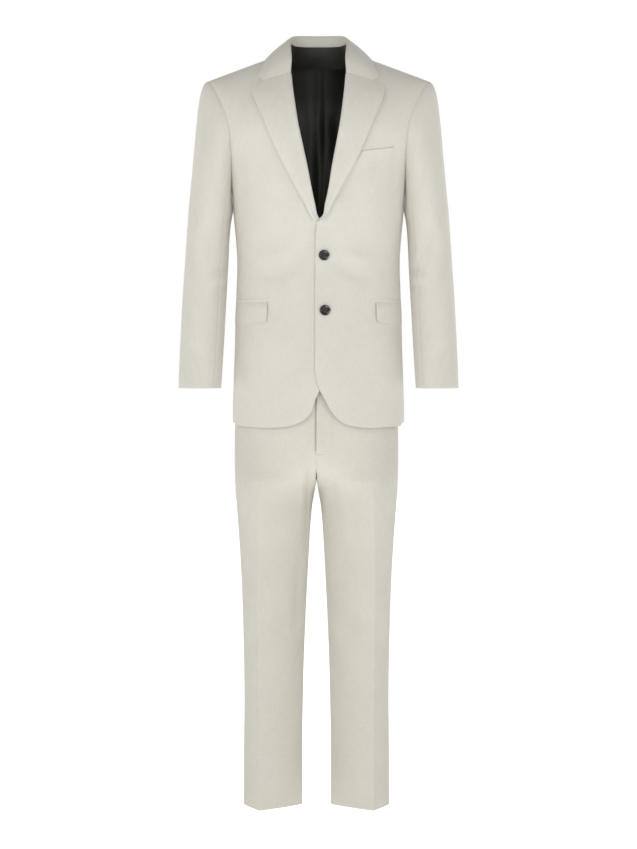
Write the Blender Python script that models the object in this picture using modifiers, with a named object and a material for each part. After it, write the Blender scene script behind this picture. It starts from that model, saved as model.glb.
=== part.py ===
"""Two-piece suit, filled out as if worn: a two-button jacket with notch lapels over pressed trousers.

Metres, +Z up, -Y to the front, +X towards the wearer's left hand. The origin lies between the
shoulders, at the height of the neck's base. Each cloth piece is a closed wall whose middle or outer
face follows one of three forms: the torso, a sleeve or a trouser leg. Neighbouring pieces share their
seam points and stop just short of each other.
"""

import math

import bpy
import numpy as np

CLOTH = 0.002
LAYER = 0.0016
LINING = 0.001
SEAM_GAP = 0.00016
LIFT = 0.0008
SAME_PLACE = 0.00002
NORMAL_STEP = 0.0003
EDGE_STEP = 0.004
SHARP_FROM = 45.0

NECK_HALF = 0.065
NECK_TOP = 0.0187
NECK_BACK_TOP = 0.034
SHOULDER_TIP = 0.219
SHOULDER_SLOPE = 0.37
SHOULDER_ROUND = 0.15
THROAT_RISE = 0.0433
SECTION_POWER = 2.2

HALF_ARMHOLE = 12
FRONT_SEAM = 9
BACK_SEAM = 16
FRONT_SEAM_ANGLE = 72.0
BACK_SEAM_ANGLE = 112.0
FRONT_COLUMNS = 8
SIDE_SPACING = 1.6
BACK_FRACTIONS = (0.0, 0.13, 0.228, NECK_HALF / SHOULDER_TIP, 0.45, 0.6, 0.74, 0.86, 0.94, 1.0)

LAP_DEPTH = 0.0028
LAP_INSIDE = -0.034
LAP_FULL = -0.012
LAP_STARTS = -0.265
LAP_REACHED = -0.312

TROUSER_CENTRE = -0.004
LEG_AXIS = 0.085
CREASE_COLUMNS = 6
INNER_COLUMNS = 5
CREASE_ANGLE = 40.0
HEM_DIP = 0.006
WAISTBAND_TOP = -0.538
WAISTBAND_FOOT = -0.5747
WAISTBAND_WALL = 0.0025
WAISTBAND_SIDES = 24

BUTTON_RADIUS = 0.0105
BUTTON_THICK = 0.0036
BUTTON_HOLE = 0.0009
BUTTON_HOLE_REACH = 0.0021
BUTTON_DISH = 0.0009
BUTTON_STEPS = 20
BUTTON_LIFT = 0.0005
HOLE_SIDES = 8
BUTTONS = {"button_upper": (0.0110, -0.392), "button_lower": (0.0128, -0.5006)}

JET_TOP = -0.4765
FLAP_TOP = -0.4822
FLAP_FOOT = -0.5262
FLAP_CORNER = 0.010
FLAP_COLUMNS = 10
FLAP_BACK_ANGLE = 99.0
FLAP_FRONT = {"left": 0.1125, "right": 0.1000}


def smooth_step(t):
    t = min(max(t, 0.0), 1.0)
    return t * t * (3 - 2 * t)


def unit(v):
    return v / np.linalg.norm(v)


class Profile:
    """Named columns against height, joined by smooth curves."""

    def __init__(self, columns, rows):
        table = np.array(sorted(rows))
        self.names = columns.split()
        self.at = table[:, 0]
        self.values = table[:, 1:]
        self.slopes = np.gradient(self.values, self.at, axis=0)

    def __call__(self, name, z):
        column = self.names.index(name)
        z = min(max(z, self.at[0]), self.at[-1])
        i = min(int(np.searchsorted(self.at, z, side="right")) - 1, len(self.at) - 2)
        span = self.at[i + 1] - self.at[i]
        t = (z - self.at[i]) / span
        a, b = self.values[i, column], self.values[i + 1, column]
        da, db = self.slopes[i, column] * span, self.slopes[i + 1, column] * span
        return a + t * da + t * t * (3 * (b - a) - 2 * da - db) + t * t * t * (2 * (a - b) + da + db)


# Torso sections: height, half width, depth in front of the shoulder line, depth behind it
TORSO = Profile("half front back", [
    (0.060, 0.240, 0.084, 0.086),
    (0.020, 0.238, 0.090, 0.090),
    (-0.030, 0.2335, 0.098, 0.100),
    (-0.077, 0.2230, 0.109, 0.111),
    (-0.110, 0.2115, 0.116, 0.116),
    (-0.146, 0.2000, 0.121, 0.119),
    (-0.190, 0.1870, 0.124, 0.119),
    (-0.225, 0.1790, 0.124, 0.117),
    (-0.262, 0.1735, 0.122, 0.114),
    (-0.300, 0.1705, 0.119, 0.109),
    (-0.345, 0.1660, 0.114, 0.105),
    (-0.400, 0.1625, 0.110, 0.105),
    (-0.460, 0.1640, 0.111, 0.114),
    (-0.520, 0.1660, 0.115, 0.124),
    (-0.580, 0.1675, 0.118, 0.130),
    (-0.650, 0.1700, 0.120, 0.132),
    (-0.700, 0.1712, 0.120, 0.131),
    (-0.740, 0.1712, 0.120, 0.130),
])

# Armhole seam: height, distance from the centre in front and behind
ARMHOLE = Profile("front back", [
    (-0.0383, 0.2190, 0.2190),
    (-0.0550, 0.2090, 0.2115),
    (-0.0815, 0.1960, 0.2015),
    (-0.1080, 0.1850, 0.1920),
    (-0.1340, 0.1785, 0.1855),
    (-0.1610, 0.1750, 0.1810),
    (-0.1900, 0.1733, 0.1775),
    (-0.2250, 0.1726, 0.1748),
    (-0.2620, 0.1735, 0.1735),
])
UNDERARM = -0.262

# Front panels, a row per section: height at the inner edge, the inner edge of the left and of the right front
# (each measured towards its own side), and the height at the side seam below the armhole
FRONT_ROWS = [
    (0.0187, 0.0650, 0.0650, 0.0),
    (0.0040, 0.0634, 0.0634, 0.0),
    (-0.0120, 0.0606, 0.0606, 0.0),
    (-0.0300, 0.0567, 0.0567, 0.0),
    (-0.0580, 0.0543, 0.0538, 0.0),
    (-0.0900, 0.0506, 0.0494, 0.0),
    (-0.1290, 0.0453, 0.0433, 0.0),
    (-0.1720, 0.0376, 0.0344, 0.0),
    (-0.2170, 0.0292, 0.0246, 0.0),
    (-0.2620, 0.0220, 0.0160, 0.0),
    (-0.2920, 0.0155, 0.0095, -0.286),
    (-0.3185, 0.0085, 0.0025, -0.315),
    (-0.3260, -0.0020, -0.0030, -0.324),
    (-0.3450, -0.0050, -0.0140, -0.345),
    (-0.4000, -0.0065, -0.0200, -0.400),
    (-0.4600, -0.0069, -0.0210, -0.460),
    (-0.5200, -0.0070, -0.0210, -0.520),
    (-0.5800, -0.0070, -0.0200, -0.580),
    (-0.6250, -0.0064, -0.0160, -0.625),
    (-0.6480, -0.0018, -0.0075, -0.648),
    (-0.6769, 0.0128, 0.0062, -0.675),
    (-0.7014, 0.0265, 0.0144, -0.697),
    (-0.7125, 0.0360, 0.0230, -0.708),
    (-0.7221, 0.0490, 0.0385, -0.717),
    (-0.7285, 0.0680, 0.0600, -0.723),
    (-0.7312, 0.0870, 0.0830, -0.726),
    (-0.7320, 0.1080, 0.1080, -0.728),
]

SIDE_HEIGHTS = (-0.286, -0.315, -0.345, -0.400, -0.460, -0.520, -0.580, -0.648, -0.697, -0.728)
BACK_UPPER_HEIGHTS = (0.008, -0.020, -0.050, -0.085, -0.125, -0.165, -0.205, -0.245)

# Lapels, a row per section: height of the roll, then the outer edge (distance from the centre, height)
LAPEL_ROWS = [
    (-0.0300, 0.1318, -0.0615),
    (-0.0580, 0.1265, -0.0805),
    (-0.0900, 0.1177, -0.1020),
    (-0.1290, 0.1040, -0.1340),
    (-0.1720, 0.0870, -0.1760),
    (-0.2170, 0.0660, -0.2190),
    (-0.2620, 0.0430, -0.2630),
    (-0.2920, 0.0270, -0.2920),
    (-0.3180, 0.0135, -0.3180),
]
NOTCH = (0.1080, -0.0450)
COLLAR_TIP = (0.1215, -0.0350)
INSIDE_LEG = 0.004
LAPEL_COLUMNS = 6

# Collar, a row per station from the back centre to the throat: the seam's distance from the
# centre and height, the top of the roll (x, y, z), and the fall's outer edge (distance from the centre, height)
COLLAR_ROWS = [
    (0.0000, 0.0340, 0.0000, 0.0555, 0.0586, 0.0000, 0.0080),
    (0.0285, 0.0311, 0.0270, 0.0507, 0.0583, 0.0350, 0.0065),
    (0.0499, 0.0250, 0.0462, 0.0365, 0.0562, 0.0730, 0.0030),
    (0.0650, 0.0187, 0.0580, 0.0040, 0.0460, 0.1030, 0.0046),
    (0.0634, 0.0040, 0.0572, -0.0340, 0.0255, 0.1095, -0.0100),
    (0.0606, -0.0120, 0.0556, -0.0590, 0.0010, 0.1155, -0.0235),
]
COLLAR_ROLL = 0.0020
STAND_OUT = 0.0021
STAND_SUNK = 0.0030
STAND_SPREAD = 8.0
GORGE_GAP = 0.0006
EDGE_DROP = 0.0008
ROLL_STEPS = 4
FALL_BULGE = 0.0025

# Sleeve rings below the underarm: height, outer and inner line, half depth, middle's place front to back
SLEEVE = Profile("outer inner depth middle", [
    (-0.300, 0.2602, 0.1750, 0.0670, 0.0000),
    (-0.350, 0.2635, 0.1775, 0.0655, -0.0010),
    (-0.400, 0.2668, 0.1798, 0.0630, -0.0040),
    (-0.450, 0.2700, 0.1823, 0.0605, -0.0090),
    (-0.500, 0.2728, 0.1850, 0.0580, -0.0150),
    (-0.550, 0.2750, 0.1875, 0.0555, -0.0220),
    (-0.600, 0.2770, 0.1903, 0.0530, -0.0290),
    (-0.653, 0.2785, 0.1935, 0.0505, -0.0370),
])
SLEEVE_TOP_RING = -0.300
SLEEVE_HEIGHTS = (-0.350, -0.400, -0.450, -0.500, -0.550, -0.600, -0.653)
CAP_STEPS = (0.0, 0.14, 0.32, 0.54, 0.77, 1.0)
SLEEVE_AXIS = 0.222

# How the sleeve leaves the armhole and meets its first ring: under the arm, and how much more at the shoulder
CAP_LEAVE_OUT = (0.003, 0.021)
CAP_LEAVE_ROUND = 0.006
CAP_LEAVE_DOWN = (0.014, -0.008)
CAP_ARRIVE_OUT = 0.020
CAP_ARRIVE_UP = (0.35, 0.41)
UNDERARM_APART = 0.0005

# Trousers, a row per section: height, outer line, crease (x, y), inner line, its y in front and behind,
# back crease (x, y), depth at the centre in front and behind, and how far the section is that of a leg
TROUSERS = Profile(
    "outer crease crease_y inner inner_front inner_back back_crease back_crease_y front back leg", [
        (-0.575, 0.1560, 0.090, -0.0900, 0.0000, -0.103, 0.107, 0.080, 0.096, 0.103, 0.1070, 0.00),
        (-0.640, 0.1600, 0.095, -0.0930, 0.0000, -0.107, 0.118, 0.080, 0.106, 0.107, 0.1190, 0.00),
        (-0.700, 0.1620, 0.100, -0.0940, 0.0000, -0.108, 0.124, 0.080, 0.112, 0.109, 0.1268, 0.05),
        (-0.744, 0.1632, 0.104, -0.0950, 0.0000, -0.107, 0.121, 0.079, 0.114, 0.109, 0.1265, 0.20),
        (-0.790, 0.1634, 0.108, -0.0955, 0.0000, -0.099, 0.104, 0.077, 0.113, 0.108, 0.1230, 0.55),
        (-0.820, 0.1631, 0.110, -0.0960, 0.0002, -0.082, 0.078, 0.075, 0.111, 0.106, 0.1180, 0.85),
        (-0.838, 0.1626, 0.111, -0.0960, 0.0006, -0.052, 0.046, 0.074, 0.109, 0.105, 0.1140, 1.00),
        (-0.848, 0.1622, 0.112, -0.0955, 0.0018, -0.020, 0.016, 0.073, 0.1075, 0.104, 0.112, 1.00),
        (-0.866, 0.1612, 0.113, -0.0945, 0.0050, 0.000, 0.000, 0.072, 0.105, 0.102, 0.1080, 1.00),
        (-0.912, 0.1580, 0.114, -0.0910, 0.0105, 0.000, 0.000, 0.071, 0.099, 0.100, 0.1000, 1.00),
        (-0.984, 0.1530, 0.115, -0.0850, 0.0150, 0.000, 0.000, 0.070, 0.091, 0.095, 0.0950, 1.00),
        (-1.080, 0.1485, 0.115, -0.0785, 0.0200, 0.000, 0.000, 0.069, 0.083, 0.095, 0.0950, 1.00),
        (-1.176, 0.1460, 0.114, -0.0735, 0.0240, 0.000, 0.000, 0.069, 0.077, 0.095, 0.0950, 1.00),
        (-1.272, 0.1450, 0.113, -0.0700, 0.0265, 0.000, 0.000, 0.069, 0.073, 0.095, 0.0950, 1.00),
        (-1.368, 0.1457, 0.113, -0.0680, 0.0280, 0.000, 0.000, 0.069, 0.070, 0.095, 0.0950, 1.00),
        (-1.484, 0.1460, 0.113, -0.0670, 0.0280, 0.000, 0.000, 0.069, 0.069, 0.095, 0.0950, 1.00),
    ])
TROUSER_HEIGHTS = (-0.575, -0.640, -0.700, -0.744, -0.790, -0.820, -0.838, -0.848, -0.866, -0.912,
                   -0.984, -1.080, -1.176, -1.272, -1.368, -1.484)
PRESS_STARTS = -0.760
PRESS_FULL = -1.000
PRESS = 0.45


def top_line(x, face="front"):
    """Height where the front and back forms close, which is the shoulder line outside the neck."""
    x = abs(x)
    if x >= NECK_HALF or face == "front":
        return NECK_TOP - SHOULDER_SLOPE * (x - NECK_HALF)
    return NECK_TOP + THROAT_RISE * (1 - (x / NECK_HALF) ** 2)


def torso_depth(x, z, face):
    across = max(0.0, 1 - (abs(x) / TORSO("half", z)) ** SECTION_POWER) ** (1 / SECTION_POWER)
    below = min(max((top_line(x, face) - z) / SHOULDER_ROUND, 0.0), 1.0)
    return TORSO(face, z) * across * math.sqrt(1 - (1 - below) ** 2)


def lap(x, z, side):
    """How far the right front is set back where it runs under the left one."""
    if side > 0:
        return 0.0
    return (LAP_DEPTH * smooth_step((x - LAP_INSIDE) / (LAP_FULL - LAP_INSIDE))
            * smooth_step((LAP_STARTS - z) / (LAP_STARTS - LAP_REACHED)))


def torso_point(x, z, face, side=1):
    depth = torso_depth(x, z, face)
    return np.array([x, depth if face == "back" else lap(x, z, side) - depth, z])


def torso_normal(x, z, face, side=1):
    step = NORMAL_STEP
    z = min(z, top_line(x, face) - 2 * step)
    across = torso_point(x + step, z, face, side) - torso_point(x - step, z, face, side)
    down = torso_point(x, z - step, face, side) - torso_point(x, z + step, face, side)
    normal = unit(np.cross(across, down))
    return normal if (normal[1] < 0) == (face == "front") else -normal


def torso_ring(z, degrees, side):
    """Point at an angle round the section: 0 at the front centre, 90 at the side, 180 at the back centre."""
    angle = math.radians(degrees)
    x = TORSO("half", z) * abs(math.sin(angle)) ** (2 / SECTION_POWER)
    return torso_point(side * x, z, "front" if degrees < 90 else "back")


def armhole(side):
    """Points round the armhole: down the front from the shoulder tip to the underarm, and up the back."""
    loop = []
    tip = top_line(SHOULDER_TIP)
    for face in ("front", "back"):
        turns = np.linspace(0, math.pi, 121)
        heights = (tip + UNDERARM) / 2 + (tip - UNDERARM) / 2 * np.cos(turns)
        path = np.array([torso_point(ARMHOLE(face, z), z, face) for z in heights])
        path[0] = (SHOULDER_TIP, 0, tip)
        path[-1] = (ARMHOLE(face, UNDERARM), 0, UNDERARM)
        run = np.concatenate([[0], np.cumsum(np.linalg.norm(np.diff(path, axis=0), axis=1))])
        even = np.linspace(0, run[-1], HALF_ARMHOLE + 1)
        points = np.array([np.interp(even, run, path[:, k]) for k in range(3)]).T
        loop.append(points if face == "front" else points[::-1])
    points = np.concatenate([loop[0], loop[1][1:-1]])
    points[:, 0] *= side
    return points


def front_grid(side):
    """Front panel from the roll or front edge to the side seam."""
    arm = armhole(side)
    column = 1 if side > 0 else 2
    rows = []
    for j, row in enumerate(FRONT_ROWS):
        inner = (side * row[column], row[0])
        if j <= FRONT_SEAM:
            outer = (arm[j][0], arm[j][2])
        else:
            point = torso_ring(row[3], FRONT_SEAM_ANGLE, side)
            outer = (point[0], point[2])
        line = []
        for k in range(FRONT_COLUMNS + 1):
            part = 1 - (1 - k / FRONT_COLUMNS) ** SIDE_SPACING
            x = inner[0] + (outer[0] - inner[0]) * part
            z = inner[1] + (outer[1] - inner[1]) * part
            line.append(torso_point(x, z, "front", side))
        if 0 < j <= FRONT_SEAM:
            line[-1] = arm[j]
        if j == 0:
            line = [np.array([p[0], 0.0, top_line(p[0])]) for p in line]
        rows.append(line)
    return np.array(rows)


def side_grid(side):
    """Side body from the underarm to the hem."""
    arm = armhole(side)
    rows = [[arm[i] for i in range(FRONT_SEAM, BACK_SEAM + 1)]]
    for z in SIDE_HEIGHTS:
        angles = np.linspace(FRONT_SEAM_ANGLE, BACK_SEAM_ANGLE, BACK_SEAM - FRONT_SEAM + 1)
        rows.append([torso_ring(z, a, side) for a in angles])
    return np.array(rows)


def back_grid(side):
    """Back panel from the centre seam to the armhole and side seam."""
    arm = armhole(side)
    rows = []
    top = []
    for part in BACK_FRACTIONS:
        x = SHOULDER_TIP * part
        if x < NECK_HALF - 1e-6:
            z = NECK_TOP + (NECK_BACK_TOP - NECK_TOP) * (1 - (x / NECK_HALF) ** 2)
            top.append(torso_point(side * x, z, "back"))
        else:
            top.append(np.array([side * x, 0.0, top_line(x)]))
    rows.append(top)
    outer_points = [arm[2 * HALF_ARMHOLE - j] for j in range(1, 2 * HALF_ARMHOLE - BACK_SEAM + 1)]
    for z, outer in zip(BACK_UPPER_HEIGHTS, outer_points):
        line = [torso_point(outer[0] * part, z + (outer[2] - z) * part, "back") for part in BACK_FRACTIONS]
        line[-1] = outer
        rows.append(line)
    for z in SIDE_HEIGHTS:
        outer = torso_ring(z, BACK_SEAM_ANGLE, side)
        rows.append([torso_point(outer[0] * part, z, "back") for part in BACK_FRACTIONS])
    return np.array(rows)


def sleeve_ring(z, side):
    outer, inner = SLEEVE("outer", z), SLEEVE("inner", z)
    depth, middle = SLEEVE("depth", z), SLEEVE("middle", z)
    points = []
    for i in range(2 * HALF_ARMHOLE):
        angle = math.pi * i / HALF_ARMHOLE
        x = (outer + inner) / 2 + (outer - inner) / 2 * math.cos(angle)
        points.append((side * x, middle - depth * math.sin(angle), z))
    return np.array(points)


def sleeve_grid(side):
    """Rings from the armhole over the cap and down to the cuff, closed all round."""
    arm = armhole(side)
    first = sleeve_ring(SLEEVE_TOP_RING, side)
    rings = []
    for t in CAP_STEPS:
        ring = []
        for i in range(2 * HALF_ARMHOLE):
            angle = math.pi * i / HALF_ARMHOLE
            up = math.cos(angle / 2) ** 2
            start, end = arm[i], first[i]
            leave = np.array([
                side * (CAP_LEAVE_OUT[0] + CAP_LEAVE_OUT[1] * up),
                -CAP_LEAVE_ROUND * math.sin(angle),
                -CAP_LEAVE_DOWN[0] - CAP_LEAVE_DOWN[1] * up,
            ])
            reach = (CAP_ARRIVE_UP[0] + CAP_ARRIVE_UP[1] * up) * (start[2] - end[2])
            arrive = np.array([-side * CAP_ARRIVE_OUT * up, 0.0, reach])
            handles = (start, start + leave, end + arrive, end)
            weights = ((1 - t) ** 3, 3 * t * (1 - t) ** 2, 3 * t * t * (1 - t), t ** 3)
            ring.append(sum(w * h for w, h in zip(weights, handles)))
        rings.append(ring)
    return np.array(rings + [sleeve_ring(z, side) for z in SLEEVE_HEIGHTS])


def leg_point(z, part, face, side):
    """Point of a leg at height z: part 0 at the side seam, 1 at the centre or inner seam."""
    back = face == "back"
    value = {name: TROUSERS(name, z) for name in TROUSERS.names}
    crease = value["back_crease"] if back else value["crease"]
    crease_y = value["back_crease_y"] if back else value["crease_y"]
    inner_y = value["inner_back"] if back else value["inner_front"]
    depth = value["back"] if back else -value["front"]
    press = PRESS * smooth_step((PRESS_STARTS - z) / (PRESS_STARTS - PRESS_FULL))
    crease_part = CREASE_COLUMNS / (CREASE_COLUMNS + INNER_COLUMNS)
    if part <= crease_part:
        t = part / crease_part
        turn = math.pi / 2 * t
        round_x = crease + (value["outer"] - crease) * math.cos(turn)
        round_y = crease_y * math.sin(turn)
        chord_x = value["outer"] + (crease - value["outer"]) * t
        chord_y = crease_y * t
        hip = math.radians(90 + (CREASE_ANGLE - 90) * t)
    else:
        t = (part - crease_part) / (1 - crease_part)
        turn = math.pi / 2 * t
        round_x = crease + (value["inner"] - crease) * math.sin(turn)
        round_y = inner_y + (crease_y - inner_y) * math.cos(turn)
        chord_x = crease + (value["inner"] - crease) * t
        chord_y = crease_y + (inner_y - crease_y) * t
        hip = math.radians(CREASE_ANGLE * (1 - t))
    leg_x = round_x + (chord_x - round_x) * press
    leg_y = round_y + (chord_y - round_y) * press
    hip_x = value["outer"] * abs(math.sin(hip)) ** (2 / SECTION_POWER)
    hip_y = depth * abs(math.cos(hip)) ** (2 / SECTION_POWER)
    weight = value["leg"]
    x = hip_x + (leg_x - hip_x) * weight
    y = hip_y + (leg_y - hip_y) * weight
    if z == TROUSER_HEIGHTS[-1] and not back:
        reach = crease_part if part <= crease_part else 1 - crease_part
        z -= HEM_DIP * (1 - abs(part - crease_part) / reach) ** 2
    return np.array([TROUSER_CENTRE + side * x, y, z])


def trouser_grid(face, side):
    parts = np.linspace(0, 1, CREASE_COLUMNS + INNER_COLUMNS + 1)
    return np.array([[leg_point(z, part, face, side) for part in parts] for z in TROUSER_HEIGHTS])


def shared_normals(grids, around=()):
    """Outward normals of grids that share seam points, averaged over every face that meets at a point."""
    sums = {}

    def key(point):
        return tuple(np.round(point / SAME_PLACE).astype(int))

    for name, grid in grids.items():
        rows, columns = grid.shape[:2]
        reach = columns if name in around else columns - 1
        for r in range(rows - 1):
            for c in range(reach):
                d = (c + 1) % columns
                corners = (grid[r, c], grid[r, d], grid[r + 1, d], grid[r + 1, c])
                normal = np.cross(corners[2] - corners[0], corners[3] - corners[1])
                for point in corners:
                    sums.setdefault(key(point), []).append((name, normal))
    signs = {}
    for name, grid in grids.items():
        middle = grid.reshape(-1, 3).mean(axis=0)
        axis = np.array([AXES[name][0], AXES[name][1], middle[2]])
        outward = 0.0
        for r in range(grid.shape[0] - 1):
            for c in range(grid.shape[1] - 1):
                normal = np.cross(grid[r + 1, c + 1] - grid[r, c], grid[r + 1, c] - grid[r, c + 1])
                outward += float(np.dot(normal, (grid[r, c] - axis) * (1, 1, 0)))
        signs[name] = 1.0 if outward > 0 else -1.0
    result = {}
    for name, grid in grids.items():
        normals = np.zeros_like(grid)
        for index in np.ndindex(grid.shape[:2]):
            total = sum(signs[other] * normal for other, normal in sums[key(grid[index])])
            normals[index] = unit(total)
        result[name] = normals
    return result


def pull_back(grid, sides, gap=SEAM_GAP):
    """Draws the named boundaries of a grid back from their seams."""
    moved = grid.copy()
    views = {"top": (0, 1), "foot": (-1, -2)}
    for name, (edge, near) in views.items():
        if name in sides:
            step = grid[near] - grid[edge]
            moved[edge] += step / np.linalg.norm(step, axis=1, keepdims=True) * gap
    views = {"first": (0, 1), "last": (-1, -2)}
    for name, (edge, near) in views.items():
        if name in sides:
            step = grid[:, near] - grid[:, edge]
            moved[:, edge] += step / np.linalg.norm(step, axis=1, keepdims=True) * gap
    return moved


def material(name, colour, roughness, metallic=0.0):
    finish = bpy.data.materials.new(name)
    finish.use_nodes = True
    shader = finish.node_tree.nodes["Principled BSDF"]
    shader.inputs["Base Color"].default_value = (*colour, 1.0)
    shader.inputs["Roughness"].default_value = roughness
    shader.inputs["Metallic"].default_value = metallic
    return finish


def add_object(name, mesh, colour, roughness):
    mesh.materials.append(material(name, colour, roughness))
    mesh.shade_smooth()
    mesh.set_sharp_from_angle(angle=math.radians(SHARP_FROM))
    piece = bpy.data.objects.new(name, mesh)
    SUIT.objects.link(piece)
    return piece


def add_wall(name, outer, inner, colour, roughness, closed=False):
    """Closed solid between two grids of points, open or closed all round."""
    rows, columns = outer.shape[:2]
    layer = rows * columns
    faces = []

    def at(r, c, below=0):
        return below * layer + r * columns + c % columns

    for r in range(rows - 1):
        for c in range(columns if closed else columns - 1):
            d = (c + 1) % columns
            down = np.linalg.norm(outer[r, c] - outer[r + 1, d])
            up = np.linalg.norm(outer[r, d] - outer[r + 1, c])
            quad = ((r, c), (r, d), (r + 1, d), (r + 1, c))
            if up < down - 1e-7:
                quad = quad[1:] + quad[:1]
            for half in ((0, 1, 2), (0, 2, 3)):
                faces.append(tuple(at(*quad[k]) for k in half))
                faces.append(tuple(at(*quad[k], 1) for k in half[::-1]))
    for c in range(columns if closed else columns - 1):
        faces.append((at(0, c + 1), at(0, c), at(0, c, 1), at(0, c + 1, 1)))
        faces.append((at(rows - 1, c), at(rows - 1, c + 1), at(rows - 1, c + 1, 1), at(rows - 1, c, 1)))
    if not closed:
        last = columns - 1
        for r in range(rows - 1):
            faces.append((at(r, 0), at(r + 1, 0), at(r + 1, 0, 1), at(r, 0, 1)))
            faces.append((at(r + 1, last), at(r, last), at(r, last, 1), at(r + 1, last, 1)))
    points = np.concatenate([outer.reshape(-1, 3), inner.reshape(-1, 3)])
    volume = 0.0
    for face in faces:
        for k in range(1, len(face) - 1):
            volume += np.dot(points[face[0]], np.cross(points[face[k]], points[face[k + 1]]))
    if volume < 0:
        faces = [face[::-1] for face in faces]
    mesh = bpy.data.meshes.new(name)
    mesh.from_pydata([tuple(p) for p in points], [], faces)
    return add_object(name, mesh, colour, roughness)


STONE = (0.66, 0.64, 0.59)
STONE_SHADE = (0.58, 0.56, 0.51)
BLACK = (0.012, 0.012, 0.010)
HORN = (0.020, 0.018, 0.016)
WOOL_ROUGH = 0.85
SATIN_ROUGH = 0.45
HORN_ROUGH = 0.25

AXES = {}
SUIT = bpy.data.collections.new("suit")
CUTTERS = bpy.data.collections.new("cutters")


def build_body():
    """Fronts, side bodies and backs of the jacket."""
    grids = {}
    for word, side in (("left", 1), ("right", -1)):
        grids["jacket_front_" + word] = front_grid(side)
        grids["jacket_side_" + word] = side_grid(side)
        grids["jacket_back_" + word] = back_grid(side)
    for name in grids:
        AXES[name] = (0.0, 0.0)
    normals = shared_normals(grids)
    for word, side in (("left", 1), ("right", -1)):
        on_shoulder = unit(np.array([side * SHOULDER_SLOPE, 0.0, 1.0]))
        normals["jacket_front_" + word][0] = on_shoulder
        normals["jacket_back_" + word][0, BACK_FRACTIONS.index(NECK_HALF / SHOULDER_TIP):] = on_shoulder
    seams = {"front": ("top", "last"), "side": ("top", "first", "last"), "back": ("top", "first", "last")}
    for name, grid in grids.items():
        inner = grid - normals[name] * CLOTH
        sides = seams[name.split("_")[1]]
        add_wall(name, pull_back(grid, sides), pull_back(inner, sides), STONE, WOOL_ROUGH)
    return grids, normals


def build_sleeves(body_normals, body_grids):
    """Two pieces to each sleeve, an upper over the shoulder and an under sleeve."""
    for word, side in (("left", 1), ("right", -1)):
        rings = sleeve_grid(side)
        name = "sleeve_" + word
        AXES[name] = (side * SLEEVE_AXIS, 0.0)
        normals = shared_normals({name: rings}, around=(name,))[name]
        arm_normals = armhole_normals(word, body_grids, body_normals)
        inner = rings - normals * CLOTH
        for i in range(2 * HALF_ARMHOLE):
            fold = (1 - math.cos(math.pi * i / HALF_ARMHOLE)) / 2
            apart = arm_normals[i] * UNDERARM_APART * fold
            rings[0, i] += apart
            inner[0, i] += apart
        top = [i % (2 * HALF_ARMHOLE) for i in range(BACK_SEAM, 2 * HALF_ARMHOLE + FRONT_SEAM + 1)]
        under = list(range(FRONT_SEAM, BACK_SEAM + 1))
        for piece, columns in (("sleeve_top_", top), ("sleeve_under_", under)):
            sides = ("top", "first", "last")
            walls = [pull_back(pull_back(grid[:, columns], sides), ("top",)) for grid in (rings, inner)]
            add_wall(piece + word, *walls, STONE, WOOL_ROUGH)


def armhole_normals(word, grids, normals):
    """The body's normals at the armhole points."""
    found = [None] * (2 * HALF_ARMHOLE)
    for j in range(FRONT_SEAM + 1):
        found[j] = normals["jacket_front_" + word][j, -1]
    for i in range(FRONT_SEAM, BACK_SEAM + 1):
        found[i] = normals["jacket_side_" + word][0, i - FRONT_SEAM]
    for j in range(1, 2 * HALF_ARMHOLE - BACK_SEAM + 1):
        found[2 * HALF_ARMHOLE - j] = normals["jacket_back_" + word][j, -1]
    return found


def edge_frame(side, z):
    """Point of a front's inner edge on the outer face, with its normal and the way out of the cloth."""
    column = 1 if side > 0 else 2
    heights = [row[0] for row in FRONT_ROWS][::-1]
    edges = [row[column] for row in FRONT_ROWS][::-1]

    def on_edge(height):
        return torso_point(side * np.interp(height, heights, edges), height, "front", side)

    point = on_edge(z)
    along = unit(on_edge(z - EDGE_STEP) - on_edge(z + EDGE_STEP))
    normal = torso_normal(point[0], point[2], "front", side)
    out = np.cross(along, normal)
    if out[0] * side > 0:
        out = -out
    return point, normal, unit(out - normal * np.dot(out, normal))


def rolled_start(point, normal, out):
    """Middle of the cloth from behind the front's edge, round the edge and onto its outer face."""
    radius = CLOTH / 2 + LIFT + LAYER / 2
    centre = point - normal * CLOTH / 2
    path = [centre - normal * radius - out * INSIDE_LEG]
    ways = [-normal]
    for k in range(ROLL_STEPS + 1):
        angle = math.pi * (k / ROLL_STEPS - 0.5)
        way = out * math.cos(angle) + normal * math.sin(angle)
        path.append(centre + way * radius)
        ways.append(way)
    return path, ways


def laid_on(x, z, side, face="front"):
    """Middle of a layer laid on the torso at this place, and its normal."""
    normal = torso_normal(x, z, face, side)
    return torso_point(x, z, face, side) + normal * (LIFT + LAYER / 2), normal


def gorge_line(side, base, tip):
    """Places from the roll along the gorge to the notch, and from there to a tip."""
    places = []
    for k in range(1, LAPEL_COLUMNS + 1):
        if k <= LAPEL_COLUMNS - 2:
            t = k / (LAPEL_COLUMNS - 2)
            places.append((base[0] + (side * NOTCH[0] - base[0]) * t, base[2] + (NOTCH[1] - base[2]) * t))
        else:
            t = (k - LAPEL_COLUMNS + 2) / 2
            places.append((side * (NOTCH[0] + (tip[0] - NOTCH[0]) * t), NOTCH[1] + (tip[1] - NOTCH[1]) * t))
    return places


def add_layer(name, path, ways, thick, colour=STONE, rough=WOOL_ROUGH):
    path, ways = np.array(path), np.array(ways)
    add_wall(name, path + ways * thick / 2, path - ways * thick / 2, colour, rough)


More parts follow.
